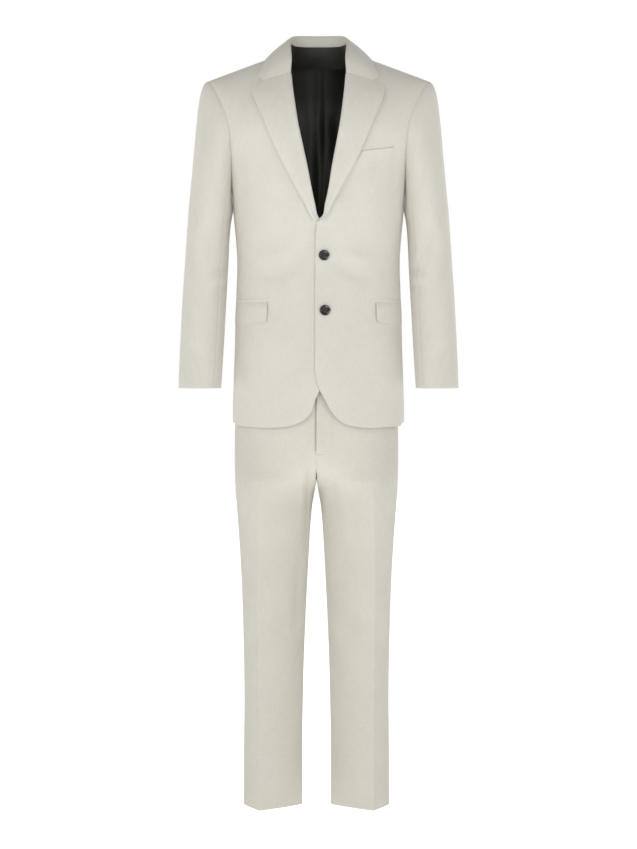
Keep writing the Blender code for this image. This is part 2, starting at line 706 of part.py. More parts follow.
def build_lapels():
    for word, side in (("left", 1), ("right", -1)):
        path, ways = [], []
        for j, (roll, edge_x, edge_z) in enumerate(LAPEL_ROWS):
            point, normal, out = edge_frame(side, roll)
            line, facing = rolled_start(point, normal, out)
            if j == 0:
                places = gorge_line(side, point, LAPEL_ROWS[0][1:])
            else:
                places = []
                for k in range(1, LAPEL_COLUMNS + 1):
                    t = k / LAPEL_COLUMNS
                    x = point[0] + (side * edge_x - point[0]) * t
                    places.append((x, point[2] + (edge_z - point[2]) * t))
            for x, z in places:
                middle, way = laid_on(x, z, side)
                line.append(middle)
                facing.append(way)
            path.append(line)
            ways.append(facing)
        add_layer("lapel_" + word, path, ways, LAYER)


def collar_station(row, side):
    """Section of the collar: up the stand, over the roll and down the fall."""
    seam_x, seam_z, roll_x, roll_y, roll_z, edge_x, edge_z = row
    if seam_z < NECK_TOP:
        point, normal, out = edge_frame(side, seam_z)
    elif seam_x >= NECK_HALF:
        point = np.array([side * seam_x, 0.0, seam_z])
        normal = unit(np.array([side * SHOULDER_SLOPE, 0.0, 1.0]))
        out = unit(np.array([-side * 1.0, 0.0, SHOULDER_SLOPE]))
    else:
        point = torso_point(side * seam_x, seam_z, "back")
        normal = torso_normal(side * seam_x, seam_z, "back")
        away = np.array([-side * seam_x * STAND_SPREAD, 0.0, 1.0])
        out = unit(away - normal * np.dot(away, normal))
    foot = point + out * STAND_OUT - normal * STAND_SUNK
    top = np.array([side * roll_x, roll_y, roll_z])
    centre = top - np.array([0.0, 0.0, COLLAR_ROLL + LAYER / 2])
    face = "front" if seam_z < NECK_TOP else "back"
    if seam_x >= NECK_HALF:
        edge_normal = unit(np.array([side * SHOULDER_SLOPE, 0.0, 1.0]))
        edge = np.array([side * edge_x, 0.0, edge_z - EDGE_DROP]) + edge_normal * (LIFT + LAYER / 2)
    else:
        edge, edge_normal = laid_on(side * edge_x, edge_z, side, face)
    return foot, centre, edge, edge_normal


def build_collar():
    stations = [(row, -1) for row in COLLAR_ROWS[::-1]] + [(row, 1) for row in COLLAR_ROWS[1:]]
    sections = [collar_station(row, side) for row, side in stations]
    centres = np.array([section[1] for section in sections])
    path, ways = [], []
    for j, (foot, centre, edge, edge_normal) in enumerate(sections):
        along = unit(centres[min(j + 1, len(centres) - 1)] - centres[max(j - 1, 0)])
        stand = unit(centre - foot)
        fall = unit(edge - centre)
        inward = unit(np.cross(stand, along))
        outward = unit(np.cross(along, fall))
        if np.dot(inward, edge - centre) > 0:
            inward = -inward
        if outward[2] < 0:
            outward = -outward
        between = math.acos(max(-1.0, min(1.0, float(np.dot(inward, outward)))))
        line, facing = [foot], [inward]
        for k in range(ROLL_STEPS + 1):
            t = k / ROLL_STEPS
            way = (inward * math.sin((1 - t) * between) + outward * math.sin(t * between)) / math.sin(between)
            line.append(centre + unit(way) * COLLAR_ROLL)
            facing.append(unit(way))
        start = line[-1]
        for k in range(1, LAPEL_COLUMNS + 1):
            t = k / LAPEL_COLUMNS
            way = unit(outward * (1 - t) + edge_normal * t)
            line.append(start + (edge - start) * t + way * FALL_BULGE * 4 * t * (1 - t))
            facing.append(way)
        path.append(line)
        ways.append(facing)
    for side in (-1, 1):
        point, normal, out = edge_frame(side, LAPEL_ROWS[0][0])
        line, facing = rolled_start(point, normal, out)
        for x, z in gorge_line(side, point, COLLAR_TIP):
            middle, way = laid_on(x, z, side)
            line.append(middle)
            facing.append(way)
        line = [p + np.array([0.0, 0.0, GORGE_GAP]) for p in line]
        if side < 0:
            path.insert(0, line)
            ways.insert(0, facing)
        else:
            path.append(line)
            ways.append(facing)
    add_layer("collar", path, ways, LAYER)


def wrapped_rows(x, side, rows):
    """Layer round the torso from front to side: each row has a height and how far its ends are inset."""
    path, ways = [], []
    for z, inset in rows:
        first = math.degrees(math.asin(((x + inset) / TORSO("half", z)) ** (SECTION_POWER / 2)))
        last = FLAP_BACK_ANGLE - math.degrees(inset / TORSO("half", z))
        line, facing = [], []
        for degrees in np.linspace(first, last, FLAP_COLUMNS):
            near = torso_ring(z, degrees, side)
            ring = torso_ring(z, degrees + 1, side) - torso_ring(z, degrees - 1, side)
            tall = torso_ring(z + 0.002, degrees, side) - torso_ring(z - 0.002, degrees, side)
            way = unit(np.cross(ring, tall))
            if np.dot(way, near * (1, 1, 0)) < 0:
                way = -way
            line.append(near + way * (LIFT + LAYER / 2))
            facing.append(way)
        path.append(line)
        ways.append(facing)
    return path, ways


def build_flaps():
    """Hip pocket flaps and the jets above them, wrapped from the front round to the side."""
    flap = [
        (FLAP_TOP, 0.0),
        ((FLAP_TOP + FLAP_FOOT) / 2, 0.0005),
        (FLAP_FOOT + FLAP_CORNER, 0.0010),
        (FLAP_FOOT + 0.3 * FLAP_CORNER, 0.3 * FLAP_CORNER),
        (FLAP_FOOT, FLAP_CORNER),
    ]
    jet = [(JET_TOP, 0.0), (FLAP_TOP + 2 * SEAM_GAP, 0.0)]
    for word, side in (("left", 1), ("right", -1)):
        add_layer("pocket_flap_" + word, *wrapped_rows(FLAP_FRONT[word], side, flap), LAYER)
        add_layer("pocket_jet_" + word, *wrapped_rows(FLAP_FRONT[word], side, jet), LAYER)


# Breast welt corners: distance from the centre and height
WELT_FOOT = ((0.0745, -0.2110), (0.1478, -0.2005))
WELT_MOUTH = ((0.0868, -0.1868), (0.1490, -0.1768))
WELT_COLUMNS = 6


def build_welt():
    """Breast pocket welt on the left front, its inner end cut along the lapel's edge."""
    path, ways = [], []
    for rise in (0.0, 0.5, 1.0):
        line, facing = [], []
        for t in np.linspace(0, 1, WELT_COLUMNS):
            foot = [a + (b - a) * t for a, b in zip(*WELT_FOOT)]
            mouth = [a + (b - a) * t for a, b in zip(*WELT_MOUTH)]
            x, z = (low + (high - low) * rise for low, high in zip(foot, mouth))
            middle, way = laid_on(x, z, 1)
            line.append(middle)
            facing.append(way)
        path.append(line)
        ways.append(facing)
    add_layer("breast_welt", path, ways, LAYER)


LINING_ROWS = 15
LINING_COLUMNS = 8
LINING_DROP = 0.18
LINING_APART = 0.0005
PLEAT_PLACES = (0.0, 0.06, 0.12, 0.20, 0.28)
PLEAT_DEPTHS = (0.0, 0.0, 0.0030, 0.0, 0.0)


def build_lining(grids, normals):
    """Back lining made from the back panels' points, down to the waist, with a pressed pleat."""
    face, ways, deep = [], [], []
    left, right = grids["jacket_back_left"], grids["jacket_back_right"]
    left_ways, right_ways = normals["jacket_back_left"], normals["jacket_back_right"]
    for j in range(LINING_ROWS):
        rows = []
        for grid in (left, right, left_ways, right_ways):
            rows.append(grid[0] + (grid[1] - grid[0]) * LINING_DROP if j == 0 else grid[j])
        line = [rows[1][k] for k in range(LINING_COLUMNS, 0, -1)]
        way = [rows[3][k] for k in range(LINING_COLUMNS, 0, -1)]
        depth = [0.0] * LINING_COLUMNS
        for place, pressed in zip(PLEAT_PLACES, PLEAT_DEPTHS):
            line.append(rows[0][0] + (rows[0][1] - rows[0][0]) * place)
            way.append(rows[2][0] + (rows[2][1] - rows[2][0]) * place)
            depth.append(pressed)
        line += [rows[0][k] for k in range(1, LINING_COLUMNS + 1)]
        way += [rows[2][k] for k in range(1, LINING_COLUMNS + 1)]
        depth += [0.0] * LINING_COLUMNS
        face.append(line)
        ways.append([unit(w) for w in way])
        deep.append(depth)
    face, ways, deep = np.array(face), np.array(ways), np.array(deep)[..., None]
    outer = face - ways * (CLOTH + LINING_APART + deep)
    add_wall("lining_back", outer, outer - ways * LINING, BLACK, SATIN_ROUGH)


def build_trousers():
    grids = {}
    for word, side in (("left", 1), ("right", -1)):
        for face in ("front", "back"):
            name = "trouser_%s_%s" % (face, word)
            grids[name] = trouser_grid(face, side)
            AXES[name] = (TROUSER_CENTRE + side * LEG_AXIS, 0.0)
    normals = shared_normals(grids)
    for name, grid in grids.items():
        inner = grid - normals[name] * CLOTH
        sides = ("first", "last")
        add_wall(name, pull_back(grid, sides), pull_back(inner, sides), STONE_SHADE, WOOL_ROUGH)
    ring, inside = [], []
    for z in (WAISTBAND_FOOT, WAISTBAND_TOP):
        for k in range(WAISTBAND_SIDES):
            angle = 2 * math.pi * k / WAISTBAND_SIDES
            sine, cosine = math.sin(angle), math.cos(angle)
            depth = TROUSERS("front" if cosine > 0 else "back", TROUSER_HEIGHTS[0])
            power = 2 / SECTION_POWER
            x = TROUSERS("outer", TROUSER_HEIGHTS[0]) * math.copysign(abs(sine) ** power, sine)
            y = -depth * math.copysign(abs(cosine) ** power, cosine)
            ring.append((TROUSER_CENTRE + x, y, z))
            shrink = 1 - WAISTBAND_WALL / math.hypot(x, y)
            inside.append((TROUSER_CENTRE + x * shrink, y * shrink, z))
    shape = (2, WAISTBAND_SIDES, 3)
    add_wall("waistband", np.array(ring).reshape(shape), np.array(inside).reshape(shape),
             STONE_SHADE, WOOL_ROUGH, closed=True)


def build_button(name, x, z):
    """A four-hole button: a turned profile with a raised rim, drilled through."""
    half = BUTTON_THICK / 2
    outline = [
        (0.0, half - BUTTON_DISH),
        (0.42 * BUTTON_RADIUS, half - BUTTON_DISH),
        (0.66 * BUTTON_RADIUS, half - 0.2 * BUTTON_DISH),
        (0.82 * BUTTON_RADIUS, half),
        (0.95 * BUTTON_RADIUS, half - 0.6 * BUTTON_DISH),
        (BUTTON_RADIUS, 0.0),
        (0.80 * BUTTON_RADIUS, -half),
        (0.0, -half),
    ]
    mesh = bpy.data.meshes.new(name)
    edges = [(i, i + 1) for i in range(len(outline) - 1)]
    mesh.from_pydata([(r, 0.0, h) for r, h in outline], edges, [])
    piece = add_object(name, mesh, HORN, HORN_ROUGH)
    turn = piece.modifiers.new("turn", "SCREW")
    turn.steps = BUTTON_STEPS
    turn.render_steps = BUTTON_STEPS
    turn.use_merge_vertices = True
    turn.merge_threshold = 0.00005
    for k in range(4):
        angle = math.pi / 4 + math.pi / 2 * k
        spot = (BUTTON_HOLE_REACH * math.cos(angle), BUTTON_HOLE_REACH * math.sin(angle), 0.0)
        bpy.ops.mesh.primitive_cylinder_add(
            vertices=HOLE_SIDES, radius=BUTTON_HOLE, depth=4 * BUTTON_THICK, location=spot)
        cutter = bpy.context.object
        cutter.name = "%s_hole_%d" % (name, k + 1)
        cutter.hide_render = True
        cutter.display_type = "WIRE"
        for owner in list(cutter.users_collection):
            owner.objects.unlink(cutter)
        CUTTERS.objects.link(cutter)
        cutter.parent = piece
        drill = piece.modifiers.new("hole_%d" % (k + 1), "BOOLEAN")
        drill.operation = "DIFFERENCE"
        drill.solver = "EXACT"
        drill.object = cutter
    normal = torso_normal(x, z, "front")
    piece.location = torso_point(x, z, "front") + normal * (half + BUTTON_LIFT)
    piece.rotation_euler = (math.acos(normal[2]), 0.0, math.atan2(normal[0], -normal[1]))
    return piece


def main():
    for old in list(bpy.data.objects):
        bpy.data.objects.remove(old)
    bpy.context.scene.collection.children.link(SUIT)
    bpy.context.scene.collection.children.link(CUTTERS)
    grids, normals = build_body()
    build_sleeves(normals, grids)
    build_lapels()
    build_collar()
    build_flaps()
    build_welt()
    build_lining(grids, normals)
    build_trousers()
    for name, (x, z) in BUTTONS.items():
        build_button(name, x, z)


main()
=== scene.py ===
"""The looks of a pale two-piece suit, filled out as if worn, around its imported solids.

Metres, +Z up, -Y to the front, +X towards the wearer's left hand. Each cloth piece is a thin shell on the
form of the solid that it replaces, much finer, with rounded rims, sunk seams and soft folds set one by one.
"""
import math

import bpy
import numpy as np
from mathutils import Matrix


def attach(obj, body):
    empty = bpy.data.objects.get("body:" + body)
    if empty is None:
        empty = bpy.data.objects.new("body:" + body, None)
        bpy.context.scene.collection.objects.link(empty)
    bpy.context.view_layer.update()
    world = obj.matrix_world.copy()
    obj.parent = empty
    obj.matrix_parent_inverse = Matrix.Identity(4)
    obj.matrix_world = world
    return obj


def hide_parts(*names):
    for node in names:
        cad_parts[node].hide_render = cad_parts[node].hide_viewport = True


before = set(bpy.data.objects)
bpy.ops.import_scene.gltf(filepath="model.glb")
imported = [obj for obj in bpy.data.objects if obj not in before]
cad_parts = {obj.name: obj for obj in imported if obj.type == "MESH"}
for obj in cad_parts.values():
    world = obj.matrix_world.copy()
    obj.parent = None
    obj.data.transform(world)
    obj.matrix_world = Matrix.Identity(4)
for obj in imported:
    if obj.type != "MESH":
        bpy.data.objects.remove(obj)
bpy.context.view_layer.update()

# Cloth walls
CLOTH = 0.002
SHELL = 0.0016
LAYER = 0.0016
LINING = 0.001
LIFT = 0.0008
FACING = 0.075
CUFF_FACING_ROWS = 6

# Seams and edges
SEAM_GAP = 0.00012
SEAM_ROUND = 0.00028
SEAM_TONGUE = 0.0006
SEAM_DEPTH = 0.0005
SEAM_WIDTH = 0.0026
LAYER_SEAM = 0.35
SNAP_REACH = 0.0025
MOST_DRAWN_IN = 0.45
FOLD_FADE = 0.8

# How fine the grids are
BODY_STEP = 0.0060
SLEEVE_STEP = 0.0060
LEG_STEP = 0.0065
LEG_STEP_INSIDE = 0.0036
LAYER_STEP = 0.0035
EDGE_MARKS = (0.0, 0.0011, 0.0024, 0.0042, 0.0068)
DENSE = 10
ARMHOLE_SAMPLES = 241
ARMHOLE_FINE = 1440

# Torso and shoulders
NECK_HALF = 0.065
NECK_TOP = 0.0187
NECK_BACK_TOP = 0.034
THROAT_RISE = 0.0433
SHOULDER_TIP = 0.219
SHOULDER_SLOPE = 0.37
SHOULDER_ROUND = 0.15
SECTION_POWER = 2.2
UNDERARM = -0.262
HEM_RISE = 0.0085
HEM_RISE_FROM = -0.660
FRONT_SEAM_ANGLE = 72.0
BACK_SEAM_ANGLE = 112.0

# Where the side seams meet the armhole, in its steps, and how the panels' columns lie
ARMHOLE_STEPS = 12
FRONT_SEAM = 9
BACK_SEAM = 16
FRONT_COLUMNS = 8
SIDE_SPACING = 1.6
BACK_FRACTIONS = (0.0, 0.13, 0.228, NECK_HALF / SHOULDER_TIP, 0.45, 0.6, 0.74, 0.86, 0.94, 1.0)

# The right front, where it runs under the left one
LAP_DEPTH = 0.0028
LAP_INSIDE = -0.034
LAP_FULL = -0.012
LAP_STARTS = -0.265
LAP_REACHED = -0.312

# Sleeves
SLEEVE_SIDES = 48
SLEEVE_TOP_RING = -0.300
SLEEVE_ALLOWANCE = 0.003
SLEEVE_AXIS = 0.222
CUFF = -0.653
CAP_ROWS = 26
CAP_CROWDING = 1.35
CAP_LEAVE_OUT = (0.0008, 0.0232)
CAP_LEAVE_ROUND = 0.006
CAP_LEAVE_DOWN = (0.014, -0.008)
CAP_ARRIVE_OUT = 0.020
CAP_ARRIVE_UP = (0.35, 0.41)

# Lapels and collar
NOTCH = (0.1080, -0.0450)
COLLAR_TIP = (0.1215, -0.0350)
INSIDE_LEG = 0.004
LAPEL_COLUMNS = 6
LAPEL_PUFF = 0.0016
LAPEL_EDGE_LIFT = {"left": 0.0030, "right": 0.0020}
GORGE_LIFT = 0.3
GORGE_GAP = 0.0006
COLLAR_ROLL = 0.0020
ROLL_STEPS = 4
STAND_OUT = 0.0021
STAND_SUNK = 0.0030
STAND_SPREAD = 8.0
EDGE_DROP = 0.0008
FALL_BULGE = 0.0025

# Lining
LINING_COLUMNS = 8
LINING_ROWS = 15
LINING_DROP = 0.18
LINING_FOOT = -0.52
LINING_APART = 0.0005
LINING_SLACK = 0.0016
PLEAT_DEPTH = 0.0034
PLEAT_EDGE = 0.0062
PLEAT_FROM = -0.0180
PLEAT_SHARP = 0.0016
NECK_LINING_STATIONS = 5
NECK_LINING_END = 0.002
NECK_LINING_TOP = 0.0342
NECK_LINING_FOOT = -0.004
NECK_LINING_NARROWER = 0.97
NECK_LINING_APART = 0.0056
NECK_LINING_BELLY = 0.0024
NECK_LINING_SUNK = 0.0085

# Trousers
TROUSER_CENTRE = -0.004
TROUSER_TOP = -0.575
TROUSER_FOOT = -1.484
CREASE_PART = 6 / 11
CREASE_ANGLE = 40.0
HEM_DIP = 0.006
HEM_DIP_FROM = -1.368
PRESS_STARTS = -0.760
PRESS_FULL = -1.000
PRESS = 0.45
LEG_AXIS = 0.085
LEG_OUTSIDE = 0.11
LEG_INSIDE = 0.10
WAISTBAND_TOP = -0.538
WAISTBAND_FOOT = -0.5747
WAISTBAND_WALL = 0.0025
WAISTBAND_SIDES = 96
WAISTBAND_ROWS = 8

# Fly, and the seam below it
FLY_END = -0.7840
FLY_END_FADE = 0.004
FLY_LAP = 0.0012
FLY_LAP_WIDTH = 0.012
FLY_GROOVE = 0.0024
FLY_GROOVE_WIDTH = 0.0045
CENTRE_GROOVE = 0.0013
CENTRE_GROOVE_WIDTH = 0.0040
CROTCH = -0.846
CROTCH_FADE = 0.010

# Buttons
BUTTON_RADIUS = 0.0105
BUTTON_THICK = 0.0036
BUTTON_HOLE = 0.0009
BUTTON_HOLE_REACH = 0.0021
BUTTON_DISH = 0.0009
BUTTON_LIFT = 0.0005
BUTTONS = {"button_upper": (0.0110, -0.392), "button_lower": (0.0128, -0.5006)}

# Pockets
JET_TOP = -0.4765
JET_LIFT = -0.0005
FLAP_TOP = -0.4822
FLAP_FOOT = -0.5262
FLAP_CORNER = 0.010
FLAP_COLUMNS = 10
FLAP_BACK_ANGLE = 99.0
FLAP_FRONT = {"left": 0.1125, "right": 0.1000}
FLAP_LIFT = 0.0005
FLAP_THICK = 0.0012
FLAP_EDGE_LIFT = 0.0020
FLAP_EDGE_FADE = 9.0
FLAP_PRESS = 0.0006
WELT_COLUMNS = 6
WELT_LIFT = (-0.0006, 0.0007)
WELT_FOOT = ((0.0745, -0.2110), (0.1478, -0.2005))
WELT_MOUTH = ((0.0868, -0.1868), (0.1490, -0.1768))

# Sewing
STITCH = 0.0026
STITCH_GAP = 0.0009
STITCH_RADIUS = 0.00026
STITCH_SUNK = 0.4
STITCH_DIP = 2.2
STRAND_SIDES = 6
FLY_STITCH_X = 0.0275
FLY_STITCH_TOP = -0.600
FLY_CURVE_FROM = -0.745
FLY_FOOT = -0.7835
TACK_HEIGHT = -0.7845
TACK_LEFT = -0.0025
TACK_RIGHT = 0.0100
TACK_HALF = 0.0010
TACK_BARS = 26
TACK_BAR_RADIUS = 0.0003
TACK_BAR_LIFT = 0.0001
TACK_BAR_DIP = 0.0005
BUTTONHOLE_BEHIND = 0.002
BUTTONHOLE_BEYOND = 0.0016
BUTTONHOLE_HALF = 0.0013
BUTTONHOLE_BARS = 22
BUTTONHOLE_BAR_RADIUS = 0.00032
BUTTONHOLE_BAR_LIFT = 0.00035
BUTTONHOLE_BAR_DIP = 0.0004
BUTTON_THREAD_APART = 0.00025
THREAD_LIFT = 0.0005
THREAD_OVER = 0.0004
THREAD_DIP = 0.0016

# Camera, lamps and floor
CAMERA_AWAY = 6.5
CAMERA_HEIGHT = -0.725
CAMERA_LENS = 137.8
SENSOR_HEIGHT = 36.0
LAMPS_AIM = (0.0, 0.0, -0.4)
FLOOR_HEIGHT = -1.560

SIDES = (("left", 1), ("right", -1))
SLEEVE_ANGLES = np.pi * np.arange(2 * SLEEVE_SIDES) / SLEEVE_SIDES
SLEEVE_FINER = SLEEVE_SIDES // ARMHOLE_STEPS


def smooth_step(t):
    """Rise from 0 to 1, level at both ends."""
    t = np.clip(t, 0.0, 1.0)
    return t * t * (3 - 2 * t)


def unit(v):
    """Vectors of length 1."""
    return v / np.maximum(np.linalg.norm(v, axis=-1, keepdims=True), 1e-12)


def run_of(points, axis=0):
    """Distance run along an axis of a grid, from its start."""
    steps = np.linalg.norm(np.diff(points, axis=axis), axis=-1)
    first = np.zeros_like(np.take(steps, [0], axis=axis))
    return np.concatenate([first, np.cumsum(steps, axis=axis)], axis=axis)


def at_run(path, run, places):
    """Values along a path, at distances run along it."""
    return np.array([np.interp(places, run, path[:, k]) for k in range(3)]).T


class Profile:
    """Named columns against height, joined by smooth curves."""

    def __init__(self, columns, rows):
        table = np.array(sorted(rows))
        self.names = columns.split()
        self.at = table[:, 0]
        self.values = table[:, 1:]
        self.slopes = np.gradient(self.values, self.at, axis=0)

    def __call__(self, name, z):
        column = self.names.index(name)
        z = np.clip(z, self.at[0], self.at[-1])
        i = np.clip(np.searchsorted(self.at, z, side="right") - 1, 0, len(self.at) - 2)
        span = self.at[i + 1] - self.at[i]
        t = (z - self.at[i]) / span
        a, b = self.values[i, column], self.values[i + 1, column]
        da, db = self.slopes[i, column] * span, self.slopes[i + 1, column] * span
        return a + t * da + t * t * (3 * (b - a) - 2 * da - db) + t * t * t * (2 * (a - b) + da + db)


# Torso sections: height, half width, depth in front of the shoulder line, depth behind it
TORSO = Profile("half front back", [
    (0.060, 0.240, 0.084, 0.086),
    (0.020, 0.238, 0.090, 0.090),
    (-0.030, 0.2335, 0.098, 0.100),
    (-0.077, 0.2230, 0.109, 0.111),
    (-0.110, 0.2115, 0.116, 0.116),
    (-0.146, 0.2000, 0.121, 0.119),
    (-0.190, 0.1870, 0.124, 0.119),
    (-0.225, 0.1790, 0.124, 0.117),
    (-0.262, 0.1735, 0.122, 0.114),
    (-0.300, 0.1705, 0.119, 0.109),
    (-0.345, 0.1660, 0.114, 0.105),
    (-0.400, 0.1625, 0.110, 0.105),
    (-0.460, 0.1640, 0.111, 0.114),
    (-0.520, 0.1660, 0.115, 0.124),
    (-0.580, 0.1675, 0.118, 0.130),
    (-0.650, 0.1700, 0.120, 0.132),
    (-0.700, 0.1712, 0.120, 0.131),
    (-0.740, 0.1712, 0.120, 0.130),
])

# Armhole seam: height, distance from the centre in front and behind
ARMHOLE = Profile("front back", [
    (-0.0383, 0.2190, 0.2190),
    (-0.0550, 0.2090, 0.2115),
    (-0.0815, 0.1960, 0.2015),
    (-0.1080, 0.1850, 0.1920),
    (-0.1340, 0.1785, 0.1855),
    (-0.1610, 0.1750, 0.1810),
    (-0.1900, 0.1733, 0.1775),
    (-0.2250, 0.1726, 0.1748),
    (-0.2620, 0.1735, 0.1735),
])

# Front panels, a row per section: height at the inner edge, the inner edge of the left and of the right
# front (each measured towards its own side), and the height at the side seam below the armhole
FRONT_ROWS = [
    (0.0187, 0.0650, 0.0650, 0.0),
    (0.0040, 0.0634, 0.0634, 0.0),
    (-0.0120, 0.0606, 0.0606, 0.0),
    (-0.0300, 0.0567, 0.0567, 0.0),
    (-0.0580, 0.0543, 0.0538, 0.0),
    (-0.0900, 0.0506, 0.0494, 0.0),
    (-0.1290, 0.0453, 0.0433, 0.0),
    (-0.1720, 0.0376, 0.0344, 0.0),
    (-0.2170, 0.0292, 0.0246, 0.0),
    (-0.2620, 0.0220, 0.0160, 0.0),
    (-0.2920, 0.0155, 0.0095, -0.286),
    (-0.3185, 0.0085, 0.0025, -0.315),
    (-0.3260, -0.0020, -0.0030, -0.324),
    (-0.3450, -0.0050, -0.0140, -0.345),
    (-0.4000, -0.0065, -0.0200, -0.400),
    (-0.4600, -0.0069, -0.0210, -0.460),
    (-0.5200, -0.0070, -0.0210, -0.520),
    (-0.5800, -0.0070, -0.0200, -0.580),
    (-0.6250, -0.0064, -0.0160, -0.625),
    (-0.6480, -0.0018, -0.0075, -0.648),
    (-0.6769, 0.0128, 0.0062, -0.675),
    (-0.7014, 0.0265, 0.0144, -0.697),
    (-0.7125, 0.0360, 0.0230, -0.708),
    (-0.7221, 0.0490, 0.0385, -0.717),
    (-0.7285, 0.0680, 0.0600, -0.723),
    (-0.7312, 0.0870, 0.0830, -0.726),
    (-0.7320, 0.1080, 0.1080, -0.728),
]
SIDE_HEIGHTS = (-0.286, -0.315, -0.345, -0.400, -0.460, -0.520, -0.580, -0.648, -0.697, -0.728)
BACK_UPPER_HEIGHTS = (0.008, -0.020, -0.050, -0.085, -0.125, -0.165, -0.205, -0.245)

# Lapels, a row per section: height of the roll, then the outer edge (distance from the centre, height)
LAPEL_ROWS = [
    (-0.0300, 0.1318, -0.0615),
    (-0.0580, 0.1265, -0.0805),
    (-0.0900, 0.1177, -0.1020),
    (-0.1290, 0.1040, -0.1340),
    (-0.1720, 0.0870, -0.1760),
    (-0.2170, 0.0660, -0.2190),
    (-0.2620, 0.0430, -0.2630),
    (-0.2920, 0.0270, -0.2920),
    (-0.3180, 0.0135, -0.3180),
    (-0.3232, 0.0078, -0.3242),
]

# Collar, a row per station from the back centre to the throat: the seam's distance from the centre and
# height, the top of the roll (x, y, z), and the fall's outer edge (distance from the centre, height)
COLLAR_ROWS = [
    (0.0000, 0.0340, 0.0000, 0.0555, 0.0586, 0.0000, 0.0080),
    (0.0285, 0.0311, 0.0270, 0.0507, 0.0583, 0.0350, 0.0065),
    (0.0499, 0.0250, 0.0462, 0.0365, 0.0562, 0.0730, 0.0030),
    (0.0650, 0.0187, 0.0580, 0.0040, 0.0460, 0.1030, 0.0046),
    (0.0634, 0.0040, 0.0572, -0.0340, 0.0255, 0.1095, -0.0100),
    (0.0606, -0.0120, 0.0556, -0.0590, 0.0010, 0.1155, -0.0235),
]

# Sleeve rings below the underarm: height, outer and inner line, half depth, middle's place front to back
SLEEVE = Profile("outer inner depth middle", [
    (-0.300, 0.2602, 0.1709, 0.0670, 0.0000),
    (-0.322, 0.2616, 0.1749, 0.0664, -0.0004),
    (-0.350, 0.2635, 0.1775, 0.0655, -0.0010),
    (-0.400, 0.2668, 0.1798, 0.0630, -0.0040),
    (-0.450, 0.2700, 0.1823, 0.0605, -0.0090),
    (-0.500, 0.2728, 0.1850, 0.0580, -0.0150),
    (-0.550, 0.2750, 0.1875, 0.0555, -0.0220),
    (-0.600, 0.2770, 0.1903, 0.0530, -0.0290),
    (-0.653, 0.2785, 0.1935, 0.0505, -0.0370),
])

# Trousers, a row per section: height, outer line, crease (x, y), inner line, its y in front and behind,
# back crease (x, y), depth at the centre in front and behind, and how far the section is that of a leg
TROUSERS = Profile(
    "outer crease crease_y inner inner_front inner_back back_crease back_crease_y front back leg", [
        (-0.575, 0.1560, 0.090, -0.0900, -0.0003, -0.103, 0.107, 0.080, 0.096, 0.103, 0.1070, 0.00),
        (-0.640, 0.1600, 0.095, -0.0930, -0.0003, -0.107, 0.118, 0.080, 0.106, 0.107, 0.1190, 0.00),
        (-0.700, 0.1620, 0.100, -0.0940, -0.0003, -0.108, 0.124, 0.080, 0.112, 0.109, 0.1268, 0.05),
        (-0.744, 0.1632, 0.104, -0.0950, -0.0003, -0.107, 0.121, 0.079, 0.114, 0.109, 0.1265, 0.20),
        (-0.790, 0.1634, 0.108, -0.0955, -0.0004, -0.099, 0.104, 0.077, 0.113, 0.108, 0.1230, 0.55),
        (-0.820, 0.1631, 0.110, -0.0960, -0.0005, -0.082, 0.078, 0.075, 0.111, 0.106, 0.1180, 0.85),
        (-0.838, 0.1626, 0.111, -0.0960, -0.0002, -0.052, 0.046, 0.074, 0.109, 0.105, 0.1140, 1.00),
        (-0.848, 0.1622, 0.112, -0.0955, 0.0018, -0.020, 0.016, 0.073, 0.1075, 0.104, 0.112, 1.00),
        (-0.866, 0.1612, 0.113, -0.0945, 0.0050, 0.000, 0.000, 0.072, 0.105, 0.102, 0.1080, 1.00),
        (-0.912, 0.1580, 0.114, -0.0910, 0.0105, 0.000, 0.000, 0.071, 0.099, 0.100, 0.1000, 1.00),
        (-0.984, 0.1530, 0.115, -0.0850, 0.0150, 0.000, 0.000, 0.070, 0.091, 0.095, 0.0950, 1.00),
        (-1.080, 0.1485, 0.115, -0.0785, 0.0200, 0.000, 0.000, 0.069, 0.083, 0.095, 0.0950, 1.00),
        (-1.176, 0.1460, 0.114, -0.0735, 0.0240, 0.000, 0.000, 0.069, 0.077, 0.095, 0.0950, 1.00),
        (-1.272, 0.1450, 0.113, -0.0700, 0.0265, 0.000, 0.000, 0.069, 0.073, 0.095, 0.0950, 1.00),
        (-1.368, 0.1457, 0.113, -0.0680, 0.0280, 0.000, 0.000, 0.069, 0.070, 0.095, 0.0950, 1.00),
        (-1.484, 0.1460, 0.113, -0.0670, 0.0280, 0.000, 0.000, 0.069, 0.069, 0.095, 0.0950, 1.00),
    ])


# The three forms
def top_line(x, face="front"):
    """Height where the front and back forms close, which is the shoulder line outside the neck."""
    x = np.abs(x)
    shoulder = NECK_TOP - SHOULDER_SLOPE * (x - NECK_HALF)
    if face == "front":
        return shoulder
    return np.where(x >= NECK_HALF, shoulder, NECK_TOP + THROAT_RISE * (1 - (x / NECK_HALF) ** 2))


def torso_depth(x, z, face):
    """How far the torso reaches from the shoulder plane, closing to nothing at the shoulder line."""
    across = np.maximum(0.0, 1 - (np.abs(x) / TORSO("half", z)) ** SECTION_POWER) ** (1 / SECTION_POWER)
    below = np.clip((top_line(x, face) - z) / SHOULDER_ROUND, 0.0, 1.0)
    return TORSO(face, z) * across * np.sqrt(1 - (1 - below) ** 2)


